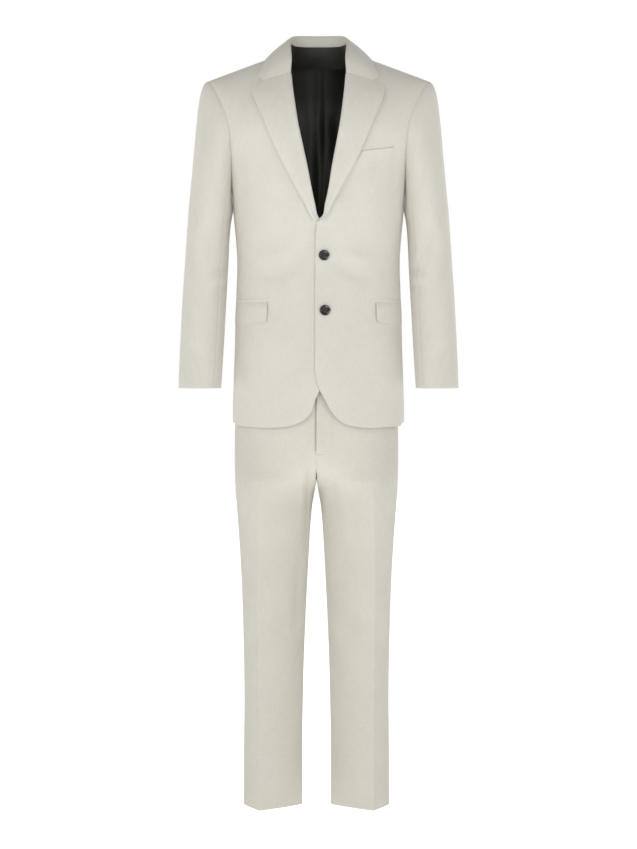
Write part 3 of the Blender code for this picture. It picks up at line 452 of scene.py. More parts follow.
def lap(x, z, side):
    """How far the right front is set back where it runs under the left one."""
    if side > 0:
        return np.zeros_like(np.asarray(x, dtype=float))
    return (LAP_DEPTH * smooth_step((x - LAP_INSIDE) / (LAP_FULL - LAP_INSIDE))
            * smooth_step((LAP_STARTS - z) / (LAP_STARTS - LAP_REACHED)))


def torso_point(x, z, face, side=1):
    """Points of the torso's outer face at a distance from the centre and a height."""
    x, z = np.broadcast_arrays(np.asarray(x, dtype=float), np.asarray(z, dtype=float))
    depth = torso_depth(x, z, face)
    return np.stack([x, depth if face == "back" else lap(x, z, side) - depth, z], axis=-1)


def torso_normal(x, z, face, side=1):
    """Normal of the torso's outer face, pointing out."""
    step = 0.0003
    z = np.minimum(z, top_line(x, face) - 2 * step)
    across = torso_point(x + step, z, face, side) - torso_point(x - step, z, face, side)
    down = torso_point(x, z - step, face, side) - torso_point(x, z + step, face, side)
    normal = unit(np.cross(across, down))
    return normal if (normal[1] < 0) == (face == "front") else -normal


def torso_ring(z, degrees, side):
    """Point at an angle round the section: 0 at the front centre, 90 at the side, 180 at the back centre."""
    x = TORSO("half", z) * abs(math.sin(math.radians(degrees))) ** (2 / SECTION_POWER)
    return torso_point(side * x, z, "front" if degrees < 90 else "back")


def armhole(side, half):
    """Points round the armhole: down the front from the shoulder tip to the underarm, and up the back."""
    loop = []
    tip = float(top_line(SHOULDER_TIP))
    for face in ("front", "back"):
        turns = np.linspace(0, math.pi, ARMHOLE_SAMPLES)
        heights = (tip + UNDERARM) / 2 + (tip - UNDERARM) / 2 * np.cos(turns)
        path = torso_point(ARMHOLE(face, heights), heights, face)
        path[0] = (SHOULDER_TIP, 0, tip)
        path[-1] = (float(ARMHOLE(face, UNDERARM)), 0, UNDERARM)
        run = run_of(path)
        points = at_run(path, run, np.linspace(0, run[-1], half + 1))
        loop.append(points if face == "front" else points[::-1])
    points = np.concatenate([loop[0], loop[1][1:-1]])
    points[:, 0] *= side
    return points


def front_grid(side):
    """Front panel from the roll or front edge to the side seam."""
    arm = armhole(side, ARMHOLE_STEPS)
    column = 1 if side > 0 else 2
    rows = []
    for j, row in enumerate(FRONT_ROWS):
        if j <= FRONT_SEAM:
            outer = (arm[j][0], arm[j][2])
        else:
            point = torso_ring(row[3], FRONT_SEAM_ANGLE, side)
            outer = (point[0], point[2])
        part = 1 - (1 - np.arange(FRONT_COLUMNS + 1) / FRONT_COLUMNS) ** SIDE_SPACING
        x = side * row[column] + (outer[0] - side * row[column]) * part
        z = row[0] + (outer[1] - row[0]) * part
        if j == 0:
            z = top_line(x)
        rows.append(torso_point(x, z, "front", side))
    return np.array(rows)


def side_grid(side):
    """Side body from the underarm to the hem."""
    arm = armhole(side, SLEEVE_SIDES)
    first, last = FRONT_SEAM * SLEEVE_FINER, BACK_SEAM * SLEEVE_FINER
    rows = [arm[first:last + 1]]
    angles = np.linspace(FRONT_SEAM_ANGLE, BACK_SEAM_ANGLE, last - first + 1)
    for z in SIDE_HEIGHTS:
        rows.append(np.array([torso_ring(z, a, side) for a in angles]))
    return np.array(rows)


def back_grid(side):
    """Back panel from the centre seam to the armhole and side seam."""
    arm = armhole(side, ARMHOLE_STEPS)
    parts = np.array(BACK_FRACTIONS)
    x = SHOULDER_TIP * parts
    collar_seam = NECK_TOP + (NECK_BACK_TOP - NECK_TOP) * (1 - (x / NECK_HALF) ** 2)
    rows = [torso_point(side * x, np.where(x < NECK_HALF - 1e-6, collar_seam, top_line(x)), "back")]
    outer_points = [arm[2 * ARMHOLE_STEPS - j] for j in range(1, 2 * ARMHOLE_STEPS - BACK_SEAM + 1)]
    for z, outer in zip(BACK_UPPER_HEIGHTS, outer_points):
        rows.append(torso_point(outer[0] * parts, z + (outer[2] - z) * parts, "back"))
    for z in SIDE_HEIGHTS:
        outer = torso_ring(z, BACK_SEAM_ANGLE, side)
        rows.append(torso_point(outer[0] * parts, np.full(len(parts), z), "back"))
    return np.array(rows)


def sleeve_point(z, angle, side):
    """Points round a sleeve: angle 0 at its outer side, a quarter turn at its front."""
    outer, inner = SLEEVE("outer", z), SLEEVE("inner", z)
    x = (outer + inner) / 2 + (outer - inner) / 2 * np.cos(angle)
    y = SLEEVE("middle", z) - SLEEVE("depth", z) * np.sin(angle)
    return np.stack(np.broadcast_arrays(side * x, y, z), axis=-1)


def sleeve_grid(side):
    """Rings from the armhole over the cap and down to the cuff."""
    start = armhole(side, SLEEVE_SIDES)
    end = sleeve_point(SLEEVE_TOP_RING, SLEEVE_ANGLES, side)
    up = np.cos(SLEEVE_ANGLES / 2) ** 2
    leave = np.stack([
        side * (CAP_LEAVE_OUT[0] + CAP_LEAVE_OUT[1] * up),
        -CAP_LEAVE_ROUND * np.sin(SLEEVE_ANGLES),
        -CAP_LEAVE_DOWN[0] - CAP_LEAVE_DOWN[1] * up,
    ], axis=-1)
    reach = (CAP_ARRIVE_UP[0] + CAP_ARRIVE_UP[1] * up) * (start[:, 2] - end[:, 2])
    arrive = np.stack([-side * CAP_ARRIVE_OUT * up, 0 * up, reach], axis=-1)
    rings = []
    for t in np.linspace(0, 1, CAP_ROWS) ** CAP_CROWDING:
        weights = ((1 - t) ** 3, 3 * t * (1 - t) ** 2, 3 * t * t * (1 - t), t ** 3)
        rings.append(sum(w * h for w, h in zip(weights, (start, start + leave, end + arrive, end))))
    below = marks(SLEEVE_TOP_RING - CUFF, SLEEVE_STEP)
    heights = SLEEVE_TOP_RING - below[below > EDGE_MARKS[-1]]
    return np.array(rings + [sleeve_point(z, SLEEVE_ANGLES, side) for z in heights])


def leg_point(z, part, face, side):
    """Points of a leg at heights z: part 0 at the side seam, 1 at the centre or inner seam."""
    z, part = np.broadcast_arrays(np.asarray(z, dtype=float), np.asarray(part, dtype=float))
    back = face == "back"
    value = {name: TROUSERS(name, z) for name in TROUSERS.names}
    crease = value["back_crease"] if back else value["crease"]
    crease_y = value["back_crease_y"] if back else value["crease_y"]
    inner_y = value["inner_back"] if back else value["inner_front"]
    depth = value["back"] if back else -value["front"]
    press = PRESS * smooth_step((PRESS_STARTS - z) / (PRESS_STARTS - PRESS_FULL))
    outside = part <= CREASE_PART
    t = np.where(outside, part / CREASE_PART, (part - CREASE_PART) / (1 - CREASE_PART))
    turn = np.pi / 2 * t
    far, near = np.where(outside, value["outer"], value["inner"]), crease
    far_y = np.where(outside, 0.0, inner_y)
    run = np.where(outside, 1 - t, t)
    round_x = near + (far - near) * np.where(outside, np.cos(turn), np.sin(turn))
    round_y = far_y + (crease_y - far_y) * np.where(outside, np.sin(turn), np.cos(turn))
    chord_x = near + (far - near) * run
    chord_y = crease_y + (far_y - crease_y) * run
    hip = np.radians(np.where(outside, 90 + (CREASE_ANGLE - 90) * t, CREASE_ANGLE * (1 - t)))
    leg_x = round_x + (chord_x - round_x) * press
    leg_y = round_y + (chord_y - round_y) * press
    hip_x = value["outer"] * np.abs(np.sin(hip)) ** (2 / SECTION_POWER)
    hip_y = depth * np.abs(np.cos(hip)) ** (2 / SECTION_POWER)
    x = hip_x + (leg_x - hip_x) * value["leg"]
    y = hip_y + (leg_y - hip_y) * value["leg"]
    if not back:
        from_crease = np.where(outside, 1 - t, t)
        foot = np.clip((HEM_DIP_FROM - z) / (HEM_DIP_FROM - TROUSER_FOOT), 0, 1)
        z = z - HEM_DIP * foot * (1 - from_crease) ** 2
    return np.stack([TROUSER_CENTRE + side * x, y, z], axis=-1)


# Finer grids
def snapped(points, line):
    """Points moved to the nearest place of a fine line, where they are already close to it."""
    away = np.linalg.norm(points[:, None] - line[None], axis=-1)
    nearest = away.argmin(axis=1)
    close = away.min(axis=1) < SNAP_REACH
    return np.where(close[:, None], line[nearest], points)


def marks(total, step):
    """Distances from 0 to a total at nearly even steps, closer together at both ends."""
    near = np.array(EDGE_MARKS)
    if total < 4 * near[-1]:
        return np.linspace(0, total, max(5, round(total / step * 2)) + 1)
    middle = np.linspace(near[-1], total - near[-1], max(2, round((total - 2 * near[-1]) / step)) + 1)
    return np.concatenate([near[:-1], middle, total - near[-2::-1]])


def curve(line, where):
    """Points at fractional places of a line of points, joined by smooth curves."""
    steps = np.maximum(np.linalg.norm(np.diff(line, axis=0), axis=1), 1e-6)
    at = np.concatenate([[0], np.cumsum(steps)])
    slopes = np.gradient(line, at, axis=0)
    i = np.clip(np.floor(where).astype(int), 0, len(line) - 2)
    t = (where - i)[:, None]
    span = steps[i][:, None]
    a, b, da, db = line[i], line[i + 1], slopes[i] * span, slopes[i + 1] * span
    return a + t * da + t * t * (3 * (b - a) - 2 * da - db) + t ** 3 * (2 * (a - b) + da + db)


def spread(grid, down, across):
    """A grid at fractional rows and columns of another."""
    columns = np.stack([curve(grid[:, c], down) for c in range(grid.shape[1])], axis=1)
    return np.stack([curve(row, across) for row in columns])


def finer(grid, step, place=None, ways=None):
    """A coarse grid at nearly even steps, with each point put back on its form."""
    rows, columns = grid.shape[:2]
    down = np.linspace(0, rows - 1, DENSE * (rows - 1) + 1)
    across = np.linspace(0, columns - 1, DENSE * (columns - 1) + 1)
    long_way = spread(grid, down, np.arange(columns))
    wide_way = spread(grid, np.arange(rows), across)
    if place:
        long_way, wide_way = place(long_way), place(wide_way)
    run_down = run_of(long_way, 0).mean(axis=1)
    run_across = run_of(wide_way, 1).mean(axis=0)
    down = np.interp(marks(run_down[-1], step), run_down, down)
    across = np.interp(marks(run_across[-1], step), run_across, across)
    points = spread(grid, down, across)
    if place:
        points = place(points)
    if ways is None:
        return points
    return points, unit(spread(ways, down, across))


def grid_normals(grid, axis):
    """Normals of a grid, turned away from an upright axis."""
    normals = unit(np.cross(np.gradient(grid, axis=0), np.gradient(grid, axis=1)))
    away = ((grid - np.array([axis[0], axis[1], 0.0])) * (1, 1, 0) * normals).sum()
    return normals if away > 0 else -normals


# Folds: how far each stands proud or sinks, how wide it is, and the places that it passes
def fold_lift(points, folds):
    """Sum of soft ridges and troughs at points, each fading out towards its ends."""
    flat = points.reshape(-1, 3)
    total = np.zeros(len(flat))
    for height, width, path in folds:
        path = np.asarray(path, dtype=float)
        run = run_of(path)
        nearest = np.full(len(flat), 1e9)
        place = np.zeros(len(flat))
        for i in range(len(path) - 1):
            leg = path[i + 1] - path[i]
            t = np.clip(((flat - path[i]) @ leg) / (leg @ leg), 0, 1)
            away = np.linalg.norm(flat - path[i] - t[:, None] * leg, axis=1)
            closer = away < nearest
            nearest = np.where(closer, away, nearest)
            place = np.where(closer, (run[i] + t * (run[i + 1] - run[i])) / run[-1], place)
        fade = np.sin(np.pi * np.clip(place, 0.0, 1.0)) ** FOLD_FADE
        total += height * fade * np.exp(-(nearest / width) ** 2)
    return total.reshape(points.shape[:-1])


def on_torso(face, places):
    """Path over the torso, from distances from the centre and heights."""
    return [torso_point(x, z, face, 1 if x > 0 else -1) for x, z in places]


def on_sleeve(side, places):
    """Path over a sleeve, from degrees round it (0 at its outer side, 90 at its front) and heights."""
    return [sleeve_point(z, math.radians(degrees), side) for degrees, z in places]


def on_leg(face, side, places):
    """Path over a leg, from parts of its width and heights."""
    return [leg_point(z, part, face, side) for part, z in places]


def leg_part(x, z, side, samples=80):
    """The part of a leg's front, inside its crease, that lies at a distance x from the trousers' centre."""
    parts = np.linspace(CREASE_PART, 1, samples)
    away = (leg_point(z, parts, "front", side)[:, 0] - TROUSER_CENTRE) * side
    return float(np.interp(x, away[::-1], parts[::-1]))


def by_centre(side, places):
    """Path over a leg's front, from distances from the trousers' centre and heights, with more in between."""
    x, z = np.array(places).T
    turns = np.linspace(0, len(places) - 1, 6 * len(places))
    between = zip(np.interp(turns, range(len(x)), x), np.interp(turns, range(len(z)), z))
    return [leg_point(at, leg_part(away, at, side), "front", side) for away, at in between]


# Jacket's folds: face, how far each stands proud or sinks, how wide it is, and the places it passes
JACKET_FOLDS = [(height, width, on_torso(face, places)) for face, height, width, *places in (
    ("front", -0.0019, 0.0052, (-0.0050, -0.322), (-0.0085, -0.345), (-0.0095, -0.385)),
    ("front", -0.0030, 0.0110, (0.082, -0.205), (0.062, -0.242), (0.036, -0.290)),
    ("front", -0.0026, 0.0110, (-0.094, -0.160), (-0.068, -0.226), (-0.036, -0.290)),
    ("front", 0.0018, 0.0130, (0.112, -0.200), (0.094, -0.255), (0.070, -0.310)),
    ("front", -0.0030, 0.016, (0.160, -0.150), (0.151, -0.215), (0.146, -0.300)),
    ("front", -0.0026, 0.015, (-0.161, -0.160), (-0.153, -0.230), (-0.149, -0.305)),
    ("front", -0.0022, 0.014, (0.026, -0.402), (0.066, -0.428), (0.116, -0.440)),
    ("front", 0.0018, 0.012, (0.034, -0.380), (0.080, -0.396), (0.125, -0.398)),
    ("front", -0.0020, 0.015, (-0.036, -0.398), (-0.080, -0.430), (-0.128, -0.436)),
    ("front", 0.0014, 0.014, (-0.050, -0.372), (-0.092, -0.392), (-0.132, -0.392)),
    ("front", -0.0018, 0.020, (-0.060, -0.560), (-0.066, -0.630), (-0.060, -0.712)),
    ("front", -0.0015, 0.022, (0.092, -0.560), (0.099, -0.630), (0.104, -0.716)),
    ("back", -0.0028, 0.018, (0.150, -0.130), (0.140, -0.200), (0.128, -0.290)),
    ("back", -0.0032, 0.018, (-0.152, -0.120), (-0.141, -0.205), (-0.131, -0.280)),
    ("back", -0.0022, 0.012, (-0.085, -0.022), (-0.020, -0.036), (0.060, -0.026)),
    ("back", 0.0018, 0.012, (-0.060, 0.002), (0.010, -0.010), (0.075, 0.000)),
    ("back", -0.0026, 0.016, (-0.120, -0.385), (-0.060, -0.405), (-0.012, -0.398)),
    ("back", -0.0022, 0.015, (0.016, -0.414), (0.075, -0.420), (0.122, -0.392)),
    ("back", 0.0018, 0.013, (-0.105, -0.352), (-0.050, -0.366), (0.020, -0.360)),
    ("back", -0.0018, 0.024, (0.070, -0.540), (0.078, -0.630), (0.074, -0.715)),
    ("back", -0.0016, 0.022, (-0.082, -0.550), (-0.086, -0.640), (-0.080, -0.715)),
)]


def sleeve_folds(side):
    """The left sleeve shows the deeper hollow down its front, as in the photo; both break at the elbow."""
    more = 1.0 if side > 0 else 0.6
    table = (
        (-0.0034 * more, 0.012, (98, -0.300), (94, -0.350), (96, -0.400)),
        (0.0022 * more, 0.011, (66, -0.300), (62, -0.345), (66, -0.392)),
        (0.0020 * more, 0.010, (132, -0.310), (128, -0.360), (134, -0.410)),
        (-0.0024, 0.010, (104, -0.428), (132, -0.414), (166, -0.420)),
        (-0.0026, 0.011, (112, -0.470), (140, -0.452), (172, -0.446)),
        (0.0018, 0.010, (100, -0.450), (136, -0.434), (168, -0.434)),
        (-0.0022, 0.012, (232, -0.330), (262, -0.352), (300, -0.346)),
        (-0.0026, 0.013, (228, -0.396), (264, -0.412), (304, -0.402)),
        (0.0018, 0.012, (226, -0.366), (262, -0.382), (296, -0.374)),
        (-0.0018, 0.014, (60, -0.560), (84, -0.590), (108, -0.596)),
        (-0.0014, 0.016, (270, -0.520), (282, -0.570), (284, -0.625)),
    )
    return [(height, width, on_sleeve(side, places)) for height, width, *places in table]


def trouser_folds(side):
    """The wearer's right leg has a fold beside the inner seam; both break softly at knee and seat."""
    table = (
        ("front", -0.0022, 0.016, (0.90, -0.842), (0.74, -0.822), (0.52, -0.812)),
        ("front", -0.0018, 0.018, (0.26, -0.640), (0.28, -0.710), (0.32, -0.780)),
        ("front", -0.0018, 0.020, (0.70, -1.080), (0.78, -1.150), (0.86, -1.180)),
        ("front", -0.0014, 0.018, (0.26, -1.130), (0.34, -1.170), (0.44, -1.180)),
        ("back", -0.0030, 0.016, (0.94, -0.850), (0.70, -0.868), (0.40, -0.872)),
        ("back", 0.0022, 0.014, (0.90, -0.884), (0.70, -0.900), (0.46, -0.900)),
        ("back", -0.0026, 0.015, (0.86, -0.922), (0.68, -0.934), (0.44, -0.926)),
        ("back", -0.0028, 0.016, (0.16, -1.120), (0.46, -1.142), (0.84, -1.126)),
        ("back", -0.0024, 0.015, (0.22, -1.176), (0.50, -1.190), (0.80, -1.182)),
        ("back", 0.0018, 0.013, (0.20, -1.150), (0.50, -1.166), (0.80, -1.156)),
    )
    by_seam = {
        -1: (
            (-0.0028, 0.0050, (0.0120, -0.770), (0.0150, -0.840), (0.0230, -1.000)),
            (0.0018, 0.0070, (0.0250, -0.770), (0.0280, -0.845), (0.0350, -0.980)),
            (-0.0024, 0.0120, (0.0300, -0.960), (0.0380, -1.060), (0.0400, -1.180)),
        ),
        1: (
            (-0.0020, 0.0110, (0.0180, -0.810), (0.0340, -0.850), (0.0560, -0.872)),
            (0.0022, 0.0130, (0.0420, -0.835), (0.0480, -0.880), (0.0660, -0.930)),
        ),
    }
    folds = [(height, width, on_leg(face, side, places)) for face, height, width, *places in table]
    return folds + [(height, width, by_centre(side, places)) for height, width, *places in by_seam[side]]


# Materials
def colour(*levels):
    return (*levels, 1.0)


def set_inputs(node, values):
    """Set a node's own sockets by name."""
    for name, value in values.items():
        node.inputs[name].default_value = value


def mix_colour(tree, factor, a, b):
    """Mix of two colours by a factor."""
    node = tree.nodes.new("ShaderNodeMix")
    node.data_type = "RGBA"
    tree.links.new(factor, node.inputs["Factor"])
    set_inputs(node, {"A": a, "B": b})
    return node.outputs["Result"]


def calculate(tree, operation, a, b):
    """One step of arithmetic on a value and a value or number."""
    node = tree.nodes.new("ShaderNodeMath")
    node.operation = operation
    tree.links.new(a, node.inputs[0])
    if isinstance(b, float):
        node.inputs[1].default_value = b
    else:
        tree.links.new(b, node.inputs[1])
    return node.outputs[0]


def ramp(tree, source, low, high):
    """A value between two levels, as 0 to 1."""
    node = tree.nodes.new("ShaderNodeMapRange")
    tree.links.new(source, node.inputs["Value"])
    set_inputs(node, {"From Min": low, "From Max": high})
    return node.outputs["Result"]


def noise(tree, where, scale, detail, stretch=(1, 1, 1)):
    """Soft noise, stretched along the axes."""
    mapping = tree.nodes.new("ShaderNodeMapping")
    tree.links.new(where, mapping.inputs["Vector"])
    node = tree.nodes.new("ShaderNodeTexNoise")
    tree.links.new(mapping.outputs["Vector"], node.inputs["Vector"])
    set_inputs(mapping, {"Scale": stretch})
    set_inputs(node, {"Scale": scale, "Detail": detail})
    return node.outputs["Fac"]


def bands(tree, where, direction, values):
    """Waves side by side, as threads or streaks."""
    node = tree.nodes.new("ShaderNodeTexWave")
    node.wave_type = "BANDS"
    node.bands_direction = direction
    tree.links.new(where, node.inputs["Vector"])
    set_inputs(node, values)
    return node.outputs["Fac"]


def threads(tree, where, direction, pitch):
    """Threads at a pitch in metres, a little uneven."""
    return bands(tree, where, direction,
                 {"Scale": math.pi / 10 / pitch, "Distortion": 0.6, "Detail": 1.0, "Detail Scale": 0.4})


def new_material(name):
    finish = bpy.data.materials.new(name)
    finish.use_nodes = True
    tree = finish.node_tree
    return finish, tree, tree.nodes["Principled BSDF"]


def cloth_place(tree):
    """Place on the flat cloth, in metres across and down."""
    node = tree.nodes.new("ShaderNodeUVMap")
    node.uv_map = "cloth"
    return node.outputs["UV"]


def object_place(tree):
    return tree.nodes.new("ShaderNodeTexCoord").outputs["Object"]


def bump(tree, shader, height, strength, distance):
    """Relief of a height, of a depth in metres."""
    node = tree.nodes.new("ShaderNodeBump")
    set_inputs(node, {"Strength": strength, "Distance": distance})
    tree.links.new(height, node.inputs["Height"])
    tree.links.new(node.outputs["Normal"], shader.inputs["Normal"])


def suiting(name, light, dark, sheen):
    """Plain-weave wool in two close shades of yarn, a little slubby."""
    finish, tree, shader = new_material(name)
    where = cloth_place(tree)
    warp = threads(tree, where, "X", 0.00062)
    weft = threads(tree, where, "Y", 0.00068)
    weave = calculate(tree, "MULTIPLY", warp, weft)
    slub_down = ramp(tree, noise(tree, where, 1.0, 2.0, (900, 55, 1)), 0.38, 0.66)
    slub_across = ramp(tree, noise(tree, where, 1.0, 2.0, (60, 950, 1)), 0.38, 0.66)
    slubs = calculate(tree, "MULTIPLY", calculate(tree, "ADD", slub_down, slub_across), 0.5)
    cloud = ramp(tree, noise(tree, where, 14.0, 3.0), 0.30, 0.70)
    tone = calculate(tree, "ADD", calculate(tree, "MULTIPLY", slubs, 0.50),
                     calculate(tree, "MULTIPLY", weave, 0.30))
    tone = calculate(tree, "ADD", tone, calculate(tree, "MULTIPLY", cloud, 0.20))
    tree.links.new(mix_colour(tree, tone, dark, light), shader.inputs["Base Color"])
    set_inputs(shader, {
        "Roughness": 0.86,
        "Specular IOR Level": 0.25,
        "Sheen Weight": sheen,
        "Sheen Roughness": 0.50,
        "Sheen Tint": colour(1.0, 0.98, 0.92),
    })
    bump(tree, shader, calculate(tree, "ADD", weave, calculate(tree, "MULTIPLY", slubs, 0.8)), 0.35, 0.00012)
    return finish


def satin():
    """Black satin lining: fine twill lines in its gloss, and slow waves of painted sheen in its black."""
    finish, tree, shader = new_material("lining_satin")
    where = cloth_place(tree)
    # Painted sheen: slow waves that make the black lighter in places.
    cloud = ramp(tree, noise(tree, where, 9.0, 2.0, (1, 0.35, 1)), 0.35, 0.70)
    black = mix_colour(tree, cloud, colour(0.008, 0.008, 0.0065), colour(0.036, 0.035, 0.029))
    grain = threads(tree, where, "DIAGONAL", 0.0006)
    tree.links.new(black, shader.inputs["Base Color"])
    tree.links.new(ramp(tree, grain, -6.0, 8.0), shader.inputs["Roughness"])
    set_inputs(shader, {"Specular IOR Level": 0.60, "Sheen Weight": 0.15, "Sheen Roughness": 0.35})
    bump(tree, shader, grain, 0.15, 0.00005)
    return finish


def horn():
    """Polished black horn with a greyish swirl, its light streaks partly the horn's own and partly painted
    glints.
    """
    finish, tree, shader = new_material("button_horn")
    place = object_place(tree)
    swirl = bands(tree, place, "DIAGONAL",
                  {"Scale": 27.0, "Distortion": 9.0, "Detail": 3.0, "Detail Scale": 2.2})
    cloud = ramp(tree, noise(tree, place, 150.0, 3.0), 0.40, 0.70)
    # Light streaks: the horn's own swirl, made brighter as painted glints.
    streak_and_glint = calculate(tree, "MULTIPLY", ramp(tree, swirl, 0.80, 0.98), cloud)
    black = mix_colour(tree, streak_and_glint, colour(0.005, 0.0045, 0.004), colour(0.34, 0.32, 0.28))
    tree.links.new(black, shader.inputs["Base Color"])
    set_inputs(shader, {
        "Roughness": 0.22,
        "Specular IOR Level": 0.35,
        "Coat Weight": 0.2,
        "Coat Roughness": 0.10,
    })
    bump(tree, shader, noise(tree, place, 900.0, 2.0), 0.1, 0.00003)
    return finish


def thread_material(name, light, dark):
    """Twisted sewing thread."""
    finish, tree, shader = new_material(name)
    twist = threads(tree, object_place(tree), "DIAGONAL", 0.0005)
    tree.links.new(mix_colour(tree, twist, dark, light), shader.inputs["Base Color"])
    set_inputs(shader, {"Roughness": 0.6, "Sheen Weight": 0.3})
    bump(tree, shader, twist, 0.3, 0.00008)
    return finish


JACKET_CLOTH = suiting("jacket_suiting", colour(0.715, 0.695, 0.640), colour(0.590, 0.570, 0.515), 0.38)
# The trousers' cloth is the jacket's cloth painted a little darker and warmer, as painted shade lower down
# the suit.
SHADED_TROUSER_CLOTH = suiting("trouser_suiting_painted_shade", colour(0.690, 0.668, 0.604), colour(0.566, 0.545, 0.484), 0.04)
SATIN = satin()
HORN = horn()
PALE_THREAD = thread_material("thread_pale", colour(0.64, 0.62, 0.56), colour(0.52, 0.50, 0.45))
DARK_THREAD = thread_material("thread_dark", colour(0.035, 0.033, 0.030), colour(0.012, 0.011, 0.010))


# Building shells
def quads(rows, columns, offset=0, flip=False):
    """Faces of a grid, as indices of its points."""
    at = np.arange(rows * columns).reshape(rows, columns) + offset
    faces = np.stack([at[:-1, :-1], at[:-1, 1:], at[1:, 1:], at[1:, :-1]], axis=-1).reshape(-1, 4)
    return faces[:, ::-1] if flip else faces


def rim_of(rows, columns):
    """Indices round a grid's edge, once round."""
    at = np.arange(rows * columns).reshape(rows, columns)
    return np.concatenate([at[0, :-1], at[:-1, -1], at[-1, :0:-1], at[:0:-1, 0]])


def drawn_in(grid, top, foot, first, last):
    """The grid with the edges of its rim drawn in along the surface."""
    moved = grid.copy()
    for axis, amounts in enumerate(((top, foot), (first, last))):
        here, there = grid.swapaxes(0, axis), moved.swapaxes(0, axis)
        for edge, near, amount in zip((0, -1), (1, -2), amounts):
            step = here[near] - here[edge]
            most = MOST_DRAWN_IN * np.linalg.norm(step, axis=1, keepdims=True)
            there[edge] += unit(step) * np.minimum(amount, most)
    return moved


def seam_lift(grid, seams):
    """The cloth sinks into its seams."""
    across, down = run_of(grid, 1), run_of(grid, 0)
    away = {"first": across, "last": across[:, -1:] - across, "top": down, "foot": down[-1:] - down}
    lift = np.zeros(grid.shape[:2])
    for name in seams:
        lift = np.minimum(lift, -SEAM_DEPTH * np.exp(-(away[name] / SEAM_WIDTH) ** 2))
    return lift


def new_object(name, data):
    piece = bpy.data.objects.new(name, data)
    bpy.context.scene.collection.objects.link(piece)
    return piece


def make_object(name, points, faces, materials, slots, uv):
    """A smooth piece with a material per face and its place on the flat cloth."""
    mesh = bpy.data.meshes.new(name)
    mesh.from_pydata(points.tolist(), [], [tuple(f) for f in faces])
    for finish in materials:
        mesh.materials.append(finish)
    mesh.polygons.foreach_set("material_index", np.asarray(slots, dtype=np.int32))
    mesh.polygons.foreach_set("use_smooth", np.ones(len(mesh.polygons), dtype=bool))
    corner = np.zeros(len(mesh.loops), dtype=np.int32)
    mesh.loops.foreach_get("vertex_index", corner)
    layer = mesh.uv_layers.new(name="cloth")
    layer.data.foreach_set("uv", uv[corner].astype(np.float32).ravel())
    mesh.update()
    return new_object(name, mesh)


def shell(name, outer, ways, thick, materials, inside=None, seams=()):
    """Closed shell under an outer face, its rim round where it is free and close to its neighbour at seams.

    inside marks inner faces of the second material.
    """
    rows, columns = outer.shape[:2]
    at_seam = [edge in seams for edge in ("top", "foot", "first", "last")]
    outer = drawn_in(outer, *[SEAM_GAP] * 4)
    rounds = [SEAM_ROUND if seam else thick / 2 for seam in at_seam]
    top = drawn_in(outer, *rounds)
    under = drawn_in(outer - ways * thick, *rounds)
    rim = rim_of(rows, columns)
    tongues = [-SEAM_TONGUE if seam else 0.0 for seam in at_seam]
    middle = drawn_in(outer - ways * thick / 2, *tongues).reshape(-1, 3)[rim]
    count = rows * columns
    points = np.concatenate([top.reshape(-1, 3), under.reshape(-1, 3), middle])
    around = np.roll(np.arange(len(rim)), -1)
    edge = 2 * count + np.arange(len(rim))
    upper = np.stack([rim[around], rim, edge, edge[around]], axis=-1)
    lower = np.stack([edge[around], edge, rim + count, rim[around] + count], axis=-1)
    faces = np.concatenate([quads(rows, columns), quads(rows, columns, count, True), upper, lower])
    a, b, c = (points[faces[:, k]] for k in (0, 1, 2))
    if (np.cross(b - a, c - a) * (a + c)).sum() < 0:
        faces = faces[:, ::-1]
    skin = (rows - 1) * (columns - 1)
    slots = np.zeros(len(faces), dtype=np.int32)
    if inside is not None:
        slots[skin:2 * skin] = inside[:-1, :-1].reshape(-1)
    uv = np.stack([run_of(outer, 1), -run_of(outer, 0)], axis=-1).reshape(-1, 2)
    return make_object(name, points, faces, materials, slots, np.concatenate([uv, uv, uv[rim]]))


def declare(piece, node):
    """A piece of cloth in a node's place: attached to the root, with the node's solid hidden."""
    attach(piece, "root")
    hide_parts(node)


# Jacket body
def build_panel(node, grid, axis, seams, folds, materials, inside, allowance=None, more=0.0):
    """A hanging panel. An allowance carries its top edge on, inside the cloth that it is sewn to."""
    ways = grid_normals(grid, axis)
    lift = fold_lift(grid, folds) + seam_lift(grid, seams) + more
    outer = grid + ways * lift[..., None]
    if allowance is not None:
        outer = np.concatenate([outer[:1] + allowance, outer])
        ways = np.concatenate([ways[:1], ways])
        inside = np.concatenate([inside[:1], inside])
    piece = shell(node + "_cloth", outer, ways, SHELL, materials, inside, seams)
    declare(piece, node)


def build_body():
    """Fronts, side bodies and backs, lined inside their facings."""
    both = [JACKET_CLOTH, SATIN]
    for word, side in SIDES:
        seam = armhole(side, ARMHOLE_FINE)
        front = finer(front_grid(side), BODY_STEP, lambda p: torso_point(p[..., 0], p[..., 2], "front", side))
        front[:, -1] = snapped(front[:, -1], seam)
        lined = (run_of(front, 1) > FACING).astype(np.int32)
        build_panel("jacket_front_" + word, front, (0, 0), ("top", "last"), JACKET_FOLDS, both, lined)
        flank = finer(side_grid(side), BODY_STEP)
        flank[0] = snapped(flank[0], seam)
        # The hem rises a little between the side seams
        across = np.linspace(0, math.pi, flank.shape[1])[None, :]
        low = smooth_step((HEM_RISE_FROM - flank[..., 2]) / (HEM_RISE_FROM - SIDE_HEIGHTS[-1]))
        flank[..., 2] += HEM_RISE * np.sin(across) * low
        build_panel("jacket_side_" + word, flank, (0, 0), ("top", "first", "last"), JACKET_FOLDS, both,
                    np.ones(flank.shape[:2], dtype=np.int32))
        back = finer(back_grid(side), BODY_STEP, lambda p: torso_point(p[..., 0], p[..., 2], "back"))
        back[:, -1] = snapped(back[:, -1], seam)
        build_panel("jacket_back_" + word, back, (0, 0), ("top", "first", "last"), JACKET_FOLDS, both,
                    (back[..., 2] > LINING_FOOT).astype(np.int32))


